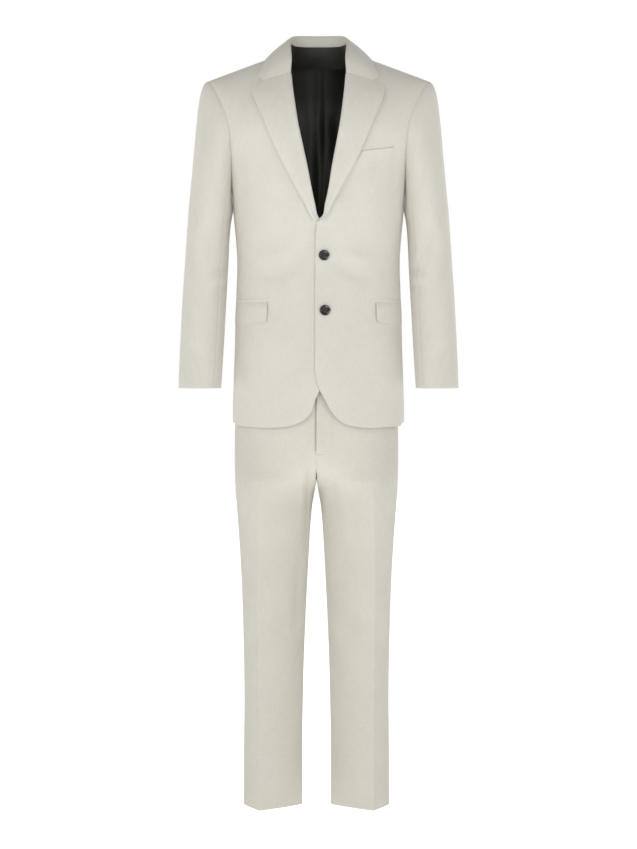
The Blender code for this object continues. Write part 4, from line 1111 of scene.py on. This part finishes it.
def build_sleeves():
    """Top and under sleeves, lined down to the cuff's facing."""
    first, last, full = FRONT_SEAM * SLEEVE_FINER, BACK_SEAM * SLEEVE_FINER, 2 * SLEEVE_SIDES
    pieces = {
        "sleeve_top_": [i % full for i in range(last, full + first + 1)],
        "sleeve_under_": list(range(first, last + 1)),
    }
    for word, side in SIDES:
        rings = sleeve_grid(side)
        for prefix, columns in pieces.items():
            grid = rings[:, columns]
            lined = np.ones(grid.shape[:2], dtype=np.int32)
            lined[-CUFF_FACING_ROWS:] = 0
            build_panel(prefix + word, grid, (side * SLEEVE_AXIS, 0), ("top", "first", "last"),
                        sleeve_folds(side), [JACKET_CLOTH, SATIN], lined,
                        allowance=np.array([-side * SLEEVE_ALLOWANCE, 0.0, 0.0]))


# Lapels and collar
def edge_frame(side, z):
    """Point of a front's inner edge on the outer face, with its normal and the way out of the cloth."""
    column = 1 if side > 0 else 2
    heights = [row[0] for row in FRONT_ROWS][::-1]
    edges = [row[column] for row in FRONT_ROWS][::-1]

    def on_edge(height):
        return torso_point(side * np.interp(height, heights, edges), height, "front", side)

    point = on_edge(z)
    along = unit(on_edge(z - 0.004) - on_edge(z + 0.004))
    normal = torso_normal(point[0], point[2], "front", side)
    out = np.cross(along, normal)
    if out[0] * side > 0:
        out = -out
    return point, normal, unit(out - normal * np.dot(out, normal))


def rolled_start(point, normal, out):
    """Middle of the cloth and its normals, from behind the front's edge, round it and onto its outer face."""
    radius = CLOTH / 2 + LIFT + LAYER / 2
    centre = point - normal * CLOTH / 2
    row = [(centre - normal * radius - out * INSIDE_LEG, -normal)]
    for k in range(ROLL_STEPS + 1):
        angle = math.pi * (k / ROLL_STEPS - 0.5)
        way = out * math.cos(angle) + normal * math.sin(angle)
        row.append((centre + way * radius, way))
    return row


def laid_on(x, z, side, face="front", lift=0.0):
    """Middle of a layer laid on the torso at this place, and its normal."""
    normal = torso_normal(x, z, face, side)
    return torso_point(x, z, face, side) + normal * (LIFT + LAYER / 2 + lift), normal


def gorge_line(side, base, tip):
    """Places from the roll along the gorge to the notch, and from there to a tip."""
    places = []
    for k in range(1, LAPEL_COLUMNS + 1):
        if k <= LAPEL_COLUMNS - 2:
            t = k / (LAPEL_COLUMNS - 2)
            places.append((base[0] + (side * NOTCH[0] - base[0]) * t, base[2] + (NOTCH[1] - base[2]) * t))
        else:
            t = (k - LAPEL_COLUMNS + 2) / 2
            places.append((side * (NOTCH[0] + (tip[0] - NOTCH[0]) * t), NOTCH[1] + (tip[1] - NOTCH[1]) * t))
    return places


def parted(rows):
    """Pairs of a point and a normal, as points and normals."""
    pairs = np.array(rows)
    return pairs[..., 0, :], pairs[..., 1, :]


def build_layer(node, rows, seams=(), thick=LAYER):
    """A shell whose middle passes through rows of points and normals, laid on other cloth."""
    path, ways = parted(rows)
    middle, facing = finer(path, LAYER_STEP, ways=ways)
    lift = fold_lift(middle, JACKET_FOLDS) + LAYER_SEAM * seam_lift(middle, seams)
    outer = middle + facing * (thick / 2 + lift[..., None])
    piece = shell(node + "_cloth", outer, facing, thick, [JACKET_CLOTH], seams=seams)
    declare(piece, node)
    return piece


def build_lapels():
    """Lapels rolled round the fronts' edges, a little puffed and lifted at their own edge."""
    parts = np.arange(1, LAPEL_COLUMNS + 1) / LAPEL_COLUMNS
    for word, side in SIDES:
        rows = []
        for j, (roll, edge_x, edge_z) in enumerate(LAPEL_ROWS):
            point, normal, out = edge_frame(side, roll)
            across, down = side * edge_x - point[0], edge_z - point[2]
            places = [(point[0] + across * t, point[2] + down * t) for t in parts]
            if j == 0:
                places = gorge_line(side, point, (edge_x, edge_z))
            row = rolled_start(point, normal, out)
            for t, (x, z) in zip(parts, places):
                lift = LAPEL_PUFF * math.sin(math.pi * t) ** 2 + LAPEL_EDGE_LIFT[word] * t ** 2
                row.append(laid_on(x, z, side, lift=lift * (GORGE_LIFT if j == 0 else 1.0)))
            rows.append(row)
        build_layer("lapel_" + word, rows, seams=("top",))


def collar_station(row, side):
    """Section of the collar: up the stand, over the roll and down the fall."""
    seam_x, seam_z, roll_x, roll_y, roll_z, edge_x, edge_z = row
    if seam_z < NECK_TOP:
        point, normal, out = edge_frame(side, seam_z)
    elif seam_x >= NECK_HALF:
        point = np.array([side * seam_x, 0.0, seam_z])
        normal = unit(np.array([side * SHOULDER_SLOPE, 0.0, 1.0]))
        out = unit(np.array([-side * 1.0, 0.0, SHOULDER_SLOPE]))
    else:
        point = torso_point(side * seam_x, seam_z, "back")
        normal = torso_normal(side * seam_x, seam_z, "back")
        away = np.array([-side * seam_x * STAND_SPREAD, 0.0, 1.0])
        out = unit(away - normal * np.dot(away, normal))
    foot = point + out * STAND_OUT - normal * STAND_SUNK
    top = np.array([side * roll_x, roll_y, roll_z])
    centre = top - np.array([0.0, 0.0, COLLAR_ROLL + LAYER / 2])
    face = "front" if seam_z < NECK_TOP else "back"
    if seam_x >= NECK_HALF:
        edge_normal = unit(np.array([side * SHOULDER_SLOPE, 0.0, 1.0]))
        edge = np.array([side * edge_x, 0.0, edge_z - EDGE_DROP]) + edge_normal * (LIFT + LAYER / 2)
    else:
        edge, edge_normal = laid_on(side * edge_x, edge_z, side, face)
    return foot, centre, edge, edge_normal


def collar_sections(rows):
    """Sections of the collar's stations, from the right end round the neck to the left end."""
    return [collar_station(row, -1) for row in rows[::-1]] + [collar_station(row, 1) for row in rows[1:]]


def build_collar():
    """Collar in one: from the stand's foot over the roll to the fall's edge, with its ends on the fronts."""
    sections = collar_sections(COLLAR_ROWS)
    centres = np.array([section[1] for section in sections])
    rows = []
    for j, (foot, centre, edge, edge_normal) in enumerate(sections):
        along = unit(centres[min(j + 1, len(centres) - 1)] - centres[max(j - 1, 0)])
        inward = unit(np.cross(unit(centre - foot), along))
        outward = unit(np.cross(along, unit(edge - centre)))
        if np.dot(inward, edge - centre) > 0:
            inward = -inward
        if outward[2] < 0:
            outward = -outward
        between = math.acos(max(-1.0, min(1.0, float(np.dot(inward, outward)))))
        row = [(foot, inward)]
        for t in np.arange(ROLL_STEPS + 1) / ROLL_STEPS:
            mixed = inward * math.sin((1 - t) * between) + outward * math.sin(t * between)
            way = unit(mixed / math.sin(between))
            row.append((centre + way * COLLAR_ROLL, way))
        start = row[-1][0]
        for t in np.arange(1, LAPEL_COLUMNS + 1) / LAPEL_COLUMNS:
            way = unit(outward * (1 - t) + edge_normal * t)
            row.append((start + (edge - start) * t + way * FALL_BULGE * 4 * t * (1 - t), way))
        rows.append(row)
    for side in (-1, 1):
        point, normal, out = edge_frame(side, LAPEL_ROWS[0][0])
        end = rolled_start(point, normal, out)
        end += [laid_on(x, z, side) for x, z in gorge_line(side, point, COLLAR_TIP)]
        end = [(place + np.array([0.0, 0.0, GORGE_GAP]), way) for place, way in end]
        rows.insert(0 if side < 0 else len(rows), end)
    build_layer("collar", rows, seams=("top", "foot"))


# Pockets
def wrapped_rows(x, side, table):
    """Layer round the torso from front to side. A row has a height, how far its ends are inset and a lift."""
    rows = []
    for z, inset, lift in table:
        first = math.degrees(math.asin(((x + inset) / TORSO("half", z)) ** (SECTION_POWER / 2)))
        last = FLAP_BACK_ANGLE - math.degrees(inset / TORSO("half", z))
        row = []
        for degrees in np.linspace(first, last, FLAP_COLUMNS):
            near = torso_ring(z, degrees, side)
            ring = torso_ring(z, degrees + 1, side) - torso_ring(z, degrees - 1, side)
            tall = torso_ring(z + 0.002, degrees, side) - torso_ring(z - 0.002, degrees, side)
            way = unit(np.cross(ring, tall))
            if np.dot(way, near * (1, 1, 0)) < 0:
                way = -way
            front_edge = math.exp(-(degrees - first) / FLAP_EDGE_FADE)
            stand_off = FLAP_EDGE_LIFT * front_edge - FLAP_PRESS * (1 - front_edge) if lift > 0 else 0.0
            row.append((near + way * (lift + stand_off), way))
        rows.append(row)
    return rows


def welt_rows():
    """Breast welt, from its seam below up to its mouth."""
    rows = []
    for rise in (0.0, 0.5, 1.0):
        lift = WELT_LIFT[0] + (WELT_LIFT[1] - WELT_LIFT[0]) * rise
        row = []
        for t in np.linspace(0, 1, WELT_COLUMNS):
            foot, mouth = ([a + (b - a) * t for a, b in zip(*line)] for line in (WELT_FOOT, WELT_MOUTH))
            x, z = (low + (high - low) * rise for low, high in zip(foot, mouth))
            way = torso_normal(x, z, "front")
            row.append((torso_point(x, z, "front") + way * lift, way))
        rows.append(row)
    return rows


def build_pockets():
    """Hip pockets, each a flap under a jet, and the breast welt."""
    flap = [
        (FLAP_TOP, 0.0, JET_LIFT),
        (FLAP_TOP - 0.2 * (FLAP_TOP - FLAP_FOOT), 0.0002, FLAP_LIFT),
        ((FLAP_TOP + FLAP_FOOT) / 2, 0.0005, 1.2 * FLAP_LIFT),
        (FLAP_FOOT + FLAP_CORNER, 0.0010, 1.2 * FLAP_LIFT),
        (FLAP_FOOT + 0.3 * FLAP_CORNER, 0.3 * FLAP_CORNER, FLAP_LIFT),
        (FLAP_FOOT, FLAP_CORNER, FLAP_LIFT),
    ]
    jet = [(JET_TOP, 0.0, JET_LIFT), (FLAP_TOP + SEAM_GAP, 0.0, JET_LIFT)]
    for word, side in SIDES:
        x = FLAP_FRONT[word]
        lip = build_layer("pocket_jet_" + word, wrapped_rows(x, side, jet), ("foot",))
        build_layer("pocket_flap_" + word, wrapped_rows(x, side, flap), ("top",),
                    FLAP_THICK)
    build_layer("breast_welt", welt_rows())


# Lining's folds: how far each stands proud or sinks, how wide it is, and the places it passes
LINING_FOLDS = (
    (0.0034, 0.020, (-0.046, -0.020), (-0.038, -0.110), (-0.026, -0.180)),
    (-0.0040, 0.022, (-0.016, -0.120), (-0.014, -0.200), (-0.008, -0.340)),
    (-0.0030, 0.012, (0.014, -0.090), (0.022, -0.150), (0.020, -0.210)),
    (0.0040, 0.014, (0.048, -0.020), (0.042, -0.120), (0.030, -0.200)),
    (0.0020, 0.012, (0.020, -0.230), (0.050, -0.300), (0.060, -0.380)),
    (0.0020, 0.012, (-0.034, -0.240), (-0.050, -0.320), (-0.056, -0.400)),
)


def build_neck_lining():
    """Band of lining up the foot of the collar's stand, straight along its top and running out in front."""
    rows = COLLAR_ROWS[:NECK_LINING_STATIONS]
    across = [-row[0] for row in rows[::-1]] + [row[0] for row in rows[1:]]
    top, foot = [], []
    for x, (seam, roll, *_) in zip(across, collar_sections(rows)):
        end = abs(x) == rows[-1][0]
        face, low = ("front", NECK_LINING_FOOT + NECK_LINING_END) if end else ("back", NECK_LINING_FOOT)
        t = 0.0 if end else (NECK_LINING_TOP - seam[2]) / (roll[2] - seam[2])
        inward = unit(np.array([-x * 1.2, 0.03 if end else -0.03, 0.0]))
        top.append(seam + (roll - seam) * t + inward * NECK_LINING_APART)
        x *= NECK_LINING_NARROWER
        foot.append(torso_point(x, low, face) - torso_normal(x, low, face) * NECK_LINING_SUNK)
    top, foot = np.array(top), np.array(foot)
    inward = unit(np.stack([-top[:, 0], np.full(len(top), -0.02), 0 * top[:, 2]], axis=-1))
    path = np.array([top + (foot - top) * t + inward * NECK_LINING_BELLY * math.sin(math.pi * t)
                     for t in (0.0, 0.25, 0.5, 0.75, 1.0)])
    grid = finer(path, LAYER_STEP)
    piece = shell("lining_neck_satin", grid, -grid_normals(grid, (0, 0)), LINING, [SATIN])
    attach(piece, "root")
    return piece


def build_lining():
    """Back lining down to the waist, with a pressed pleat beside the centre."""
    halves = back_grid(-1), back_grid(1)
    for half in halves:
        half[0] += (half[1] - half[0]) * LINING_DROP
    right, left = (half[:LINING_ROWS, :LINING_COLUMNS + 1] for half in halves)
    path = np.concatenate([right[:, :0:-1], left], axis=1)
    grid = finer(path, BODY_STEP, lambda p: torso_point(p[..., 0], p[..., 2], "back"))
    ways = grid_normals(grid, (0, 0))
    folds = [(height, width, on_torso("back", places)) for height, width, *places in LINING_FOLDS]
    x = grid[..., 0]
    pleat = PLEAT_DEPTH * (smooth_step((x - PLEAT_FROM) / (PLEAT_EDGE - PLEAT_FROM))
                           * (1 - smooth_step((x - PLEAT_EDGE) / PLEAT_SHARP)))
    sunk = CLOTH + LINING_APART + LINING_SLACK + pleat + fold_lift(grid, folds)
    outer = grid - ways * sunk[..., None]
    band = build_neck_lining()
    piece = shell("lining_back_satin", outer, ways, LINING, [SATIN])
    declare(piece, "lining_back")


# Trousers
def fly_lift(grid, side):
    """How the fronts stand at the centre: lapped above the bar tack, and sunk in one seam below it."""
    across = run_of(grid, 1)
    away, z = across[:, -1:] - across, grid[..., 2]
    fly = smooth_step((z - FLY_END) / FLY_END_FADE)
    seam = (1 - fly) * smooth_step((z - CROTCH) / CROTCH_FADE)
    height, width = (FLY_LAP, FLY_LAP_WIDTH) if side > 0 else (-FLY_GROOVE, FLY_GROOVE_WIDTH)
    lapped = height * np.exp(-(away / width) ** 2)
    return fly * lapped - seam * CENTRE_GROOVE * np.exp(-(away / CENTRE_GROOVE_WIDTH) ** 2)


def build_trousers():
    """Fronts and backs, finer between the crease and the inner seam."""
    heights = TROUSER_TOP - marks(TROUSER_TOP - TROUSER_FOOT, LEG_STEP)
    outside = marks(LEG_OUTSIDE, LEG_STEP) / LEG_OUTSIDE * CREASE_PART
    inside = CREASE_PART + marks(LEG_INSIDE, LEG_STEP_INSIDE) / LEG_INSIDE * (1 - CREASE_PART)
    parts = np.concatenate([outside, inside[1:]])
    for word, side in SIDES:
        for face in ("front", "back"):
            grid = leg_point(heights[:, None], parts[None, :], face, side)
            build_panel("trouser_%s_%s" % (face, word), grid, (TROUSER_CENTRE + side * LEG_AXIS, 0),
                        ("first", "last"), trouser_folds(side), [SHADED_TROUSER_CLOTH], None,
                        more=fly_lift(grid, side) if face == "front" else 0.0)


def build_waistband():
    """A plain ring under the jacket."""
    turn = np.linspace(0, 2 * math.pi, WAISTBAND_SIDES + 1)
    across, forward = np.sin(turn), np.cos(turn)
    power = 2 / SECTION_POWER
    depth = np.where(forward > 0, TROUSERS("front", TROUSER_TOP), TROUSERS("back", TROUSER_TOP))
    x = TROUSERS("outer", TROUSER_TOP) * np.sign(across) * np.abs(across) ** power
    y = -depth * np.sign(forward) * np.abs(forward) ** power
    band = np.array([np.stack([TROUSER_CENTRE + x, y, np.full(len(turn), z)], axis=-1)
                     for z in np.linspace(WAISTBAND_FOOT, WAISTBAND_TOP, WAISTBAND_ROWS)])
    piece = shell("waistband_cloth", band, grid_normals(band, (TROUSER_CENTRE, 0)), WAISTBAND_WALL,
                  [SHADED_TROUSER_CLOTH])
    declare(piece, "waistband")


# Buttons
def button_mesh():
    """A turned profile with a raised rim and a dished face, drilled with four holes."""
    half = BUTTON_THICK / 2
    # Parts of the radius, with parts of the dish's depth on top and of the half thickness below
    top = ((0.0, 1.0), (0.36, 1.0), (0.50, 0.92), (0.62, 0.45), (0.72, 0.08), (0.82, 0.0), (0.91, 0.20),
           (0.97, 0.75))
    foot = ((1.0, 0.0), (0.96, 0.6), (0.80, 1.0), (0.0, 1.0))
    outline = [(part * BUTTON_RADIUS, 0.0, half - dish * BUTTON_DISH) for part, dish in top]
    outline += [(part * BUTTON_RADIUS, 0.0, -drop * half) for part, drop in foot]
    mesh = bpy.data.meshes.new("turned")
    mesh.from_pydata(outline, [(i, i + 1) for i in range(len(outline) - 1)], [])
    blank = new_object("turned", mesh)
    turn = blank.modifiers.new("turn", "SCREW")
    turn.steps = turn.render_steps = 72
    turn.use_merge_vertices = True
    turn.merge_threshold = 0.00002
    cutters = []
    for k in range(4):
        angle = math.pi / 4 + math.pi / 2 * k
        spot = (BUTTON_HOLE_REACH * math.cos(angle), BUTTON_HOLE_REACH * math.sin(angle), 0.0)
        bpy.ops.mesh.primitive_cylinder_add(
            vertices=20, radius=BUTTON_HOLE, depth=4 * BUTTON_THICK, location=spot)
        cutters.append(bpy.context.object)
        drill = blank.modifiers.new("hole", "BOOLEAN")
        drill.operation = "DIFFERENCE"
        drill.solver = "EXACT"
        drill.object = cutters[-1]
    bpy.context.view_layer.update()
    made = bpy.data.meshes.new_from_object(blank.evaluated_get(bpy.context.evaluated_depsgraph_get()))
    for extra in [blank] + cutters:
        bpy.data.objects.remove(extra)
    made.materials.clear()
    made.materials.append(HORN)
    made.shade_smooth()
    made.set_sharp_from_angle(angle=math.radians(50))
    return made


def build_button(node, x, z):
    """A button on the left front, sewn on with dark thread."""
    piece = new_object(node + "_horn", button_mesh())
    normal = torso_normal(x, z, "front")
    piece.location = torso_point(x, z, "front") + normal * (BUTTON_THICK / 2 + BUTTON_LIFT)
    piece.rotation_euler = (math.acos(normal[2]), 0.0, math.atan2(normal[0], -normal[1]))
    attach(piece, "root")
    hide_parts(node)
    sew_on(node, piece)


def strand(points, ways, radius):
    """Points and faces of a short round thread along a line, closed at both ends."""
    points, sides = np.array(points), STRAND_SIDES
    along = unit(np.gradient(points, axis=0))
    up = unit(ways - along * (along * ways).sum(axis=1, keepdims=True))
    across = np.cross(along, up)
    turn = 2 * np.pi * np.arange(sides) / sides
    ring = points[:, None] + radius * (np.cos(turn)[None, :, None] * up[:, None]
                                       + np.sin(turn)[None, :, None] * across[:, None])
    last = (len(points) - 1) * sides
    faces = []
    for start in range(0, last, sides):
        for k in range(sides):
            n = (k + 1) % sides
            faces.append((start + k, start + n, start + sides + n, start + sides + k))
    faces.append(tuple(range(sides))[::-1])
    faces.append(tuple(last + k for k in range(sides)))
    return ring.reshape(-1, 3), faces


def join_strands(name, strands, finish):
    """One piece of many threads."""
    points, faces = [], []
    for ring, own in strands:
        start = sum(len(p) for p in points)
        points.append(ring)
        faces += [tuple(start + i for i in face) for face in own]
    mesh = bpy.data.meshes.new(name)
    mesh.from_pydata(np.concatenate(points).tolist(), [], faces)
    mesh.materials.append(finish)
    mesh.shade_smooth()
    piece = new_object(name, mesh)
    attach(piece, "root")


def sew_on(node, button):
    """Two doubled threads that cross between a button's holes and dip into them."""
    bpy.context.view_layer.update()
    matrix = np.array(button.matrix_world)
    face = BUTTON_THICK / 2 - BUTTON_DISH
    reach = np.linspace(-1, 1, 9)
    strands = []
    for k in range(2):
        angle = math.pi / 4 + math.pi / 2 * k
        way = np.array([math.cos(angle), math.sin(angle), 0.0])
        heights = face + THREAD_OVER * k + THREAD_LIFT - THREAD_DIP * np.abs(reach) ** 6
        for beside in (-BUTTON_THREAD_APART, BUTTON_THREAD_APART):
            aside = np.array([-way[1], way[0], 0.0]) * beside
            line = way * reach[:, None] * BUTTON_HOLE_REACH + aside
            line[:, 2] += heights
            line = line @ matrix[:3, :3].T + matrix[:3, 3]
            strands.append(strand(line, np.tile(matrix[:3, 2], (len(line), 1)), STITCH_RADIUS))
    join_strands(node + "_thread", strands, DARK_THREAD)


# Sewing
def stitch_row(path, ways):
    """Short stitches along a path, each dipping into the cloth at both ends."""
    run = run_of(path)
    rise = (STITCH_RADIUS * (1 - STITCH_SUNK)
            - STITCH_RADIUS * STITCH_DIP * np.abs(np.linspace(-1, 1, 5)) ** 3)
    strands = []
    at = 0.0
    while at + STITCH < run[-1]:
        places = np.linspace(at, at + STITCH, 5)
        way = unit(at_run(ways, run, places))
        strands.append(strand(at_run(path, run, places) + way * rise[:, None], way, STITCH_RADIUS))
        at += STITCH + STITCH_GAP
    return strands


def on_trouser_front(x, z):
    """Point of the trousers' front at a distance from the centre, with its normal."""
    side = 1 if x > TROUSER_CENTRE else -1
    part = leg_part((x - TROUSER_CENTRE) * side, z, side, 60)
    lower, upper = (leg_point(z + step, part, "front", side) for step in (-0.002, 0.002))
    before, after = (leg_point(z, at, "front", side) for at in (max(part - 0.02, 0), min(part + 0.02, 1)))
    way = unit(np.cross(lower - upper, before - after))
    return leg_point(z, part, "front", side), way if way[1] < 0 else -way


def build_fly():
    """The fly's J of stitches on the left front, and the bar tack across its foot."""
    places = [(FLY_STITCH_X, z) for z in np.linspace(FLY_STITCH_TOP, FLY_CURVE_FROM, 24)]
    for turn in np.linspace(0, math.pi / 2, 16)[1:]:
        places.append((TACK_RIGHT + (FLY_STITCH_X - TACK_RIGHT) * math.cos(turn),
                       FLY_CURVE_FROM + (FLY_FOOT - FLY_CURVE_FROM) * math.sin(turn)))
    path, ways = parted([on_trouser_front(x, z) for x, z in places])
    join_strands("fly_stitching", stitch_row(path, ways), PALE_THREAD)
    rise = np.linspace(-1, 1, 5)
    bars = []
    for x in TACK_LEFT + (TACK_RIGHT - TACK_LEFT) * np.arange(TACK_BARS) / (TACK_BARS - 1):
        line, ways = parted([on_trouser_front(x, TACK_HEIGHT + TACK_HALF * part) for part in rise])
        lift = TACK_BAR_LIFT - TACK_BAR_DIP * np.abs(rise) ** 3
        bars.append(strand(line + ways * lift[:, None], ways, TACK_BAR_RADIUS))
    join_strands("fly_bar_tack", bars, PALE_THREAD)


def build_buttonholes():
    """Worked buttonholes in the left front: a ring of close stitches round a slit behind each button."""
    reach = np.linspace(0.15, 1.0, 4)
    lift = BUTTONHOLE_BAR_LIFT - BUTTONHOLE_BAR_DIP * reach ** 3
    strands = []
    for x, z in BUTTONS.values():
        start, end = x - BUTTONHOLE_BEHIND, x + BUTTON_RADIUS + BUTTONHOLE_BEYOND
        for edge in (1, -1):
            for at in start + (end - start) * (np.arange(BUTTONHOLE_BARS) / (BUTTONHOLE_BARS - 1)):
                heights = z + edge * BUTTONHOLE_HALF * reach
                line, ways = parted([(torso_point(at, height, "front"), torso_normal(at, height, "front"))
                                     for height in heights])
                strands.append(strand(line + ways * lift[:, None], ways, BUTTONHOLE_BAR_RADIUS))
    join_strands("buttonhole_stitching", strands, PALE_THREAD)


# Stage
def build_floor():
    """A pale floor that glows, its glow painted dimmer near the suit as a soft shadow, turning white away
    from it.
    """
    bpy.ops.mesh.primitive_plane_add(size=60, location=(0, 0, FLOOR_HEIGHT))
    floor = bpy.context.object
    floor.name = "floor"
    finish, tree, shader = new_material("floor_pale")
    set_inputs(shader, {
        "Base Color": colour(0.90, 0.90, 0.90),
        "Roughness": 0.9,
        "Emission Color": colour(1.0, 1.0, 1.0),
    })
    away = tree.nodes.new("ShaderNodeVectorMath")
    away.operation = "LENGTH"
    tree.links.new(object_place(tree), away.inputs[0])
    # Painted shadow: the floor glows less close to the suit and full white further away.
    reach = tree.nodes.new("ShaderNodeMapRange")
    tree.links.new(away.outputs["Value"], reach.inputs["Value"])
    set_inputs(reach, {"From Min": 0.2, "From Max": 2.6, "To Min": 0.72, "To Max": 0.95})
    tree.links.new(reach.outputs["Result"], shader.inputs["Emission Strength"])
    floor.data.materials.append(finish)


def build_world():
    """Soft light from all round, in front of a white backdrop."""
    world = bpy.data.worlds.new("studio")
    world.use_nodes = True
    tree = world.node_tree
    room = tree.nodes["Background"]
    set_inputs(room, {"Color": colour(1.0, 0.98, 0.94), "Strength": 0.38})
    backdrop = tree.nodes.new("ShaderNodeBackground")
    set_inputs(backdrop, {"Color": colour(1.0, 1.0, 1.0)})
    either = tree.nodes.new("ShaderNodeMixShader")
    tree.links.new(tree.nodes.new("ShaderNodeLightPath").outputs["Is Camera Ray"], either.inputs["Fac"])
    tree.links.new(room.outputs["Background"], either.inputs[1])
    tree.links.new(backdrop.outputs["Background"], either.inputs[2])
    tree.links.new(either.outputs["Shader"], tree.nodes["World Output"].inputs["Surface"])
    bpy.context.scene.world = world


def build_lights():
    """Square lamps, aimed at the jacket."""
    table = (
        ("key", (-3.4, -3.8, 0.9), 1.6, 43.0),
        ("front", (0.2, -5.2, 0.6), 2.2, 21.0),
        ("fill", (3.5, -3.8, 0.5), 1.6, 28.0),
        ("behind", (0.8, 4.8, 1.8), 2.6, 70.0),
    )
    for name, place, size, power in table:
        lamp = bpy.data.lights.new(name, "AREA")
        lamp.size = size
        lamp.energy = power
        holder = new_object(name, lamp)
        holder.location = place
        aim = np.array(LAMPS_AIM) - np.array(place)
        holder.rotation_euler = (math.atan2(math.hypot(aim[0], aim[1]), -aim[2]), 0,
                                 math.atan2(aim[1], aim[0]) - math.pi / 2)


def build_camera():
    lens = bpy.data.cameras.new("camera")
    lens.sensor_fit = "VERTICAL"
    lens.sensor_height = SENSOR_HEIGHT
    lens.lens = CAMERA_LENS
    camera = new_object("camera", lens)
    camera.location = (0, -CAMERA_AWAY, CAMERA_HEIGHT)
    camera.rotation_euler = (math.pi / 2, 0, 0)
    bpy.context.scene.camera = camera
    bpy.context.scene.view_settings.view_transform = "Standard"


build_floor()
build_world()
build_lights()
build_camera()
build_body()
build_sleeves()
build_lapels()
build_collar()
build_pockets()
build_lining()
build_trousers()
build_waistband()
for node, place in BUTTONS.items():
    build_button(node, *place)
build_fly()
build_buttonholes()
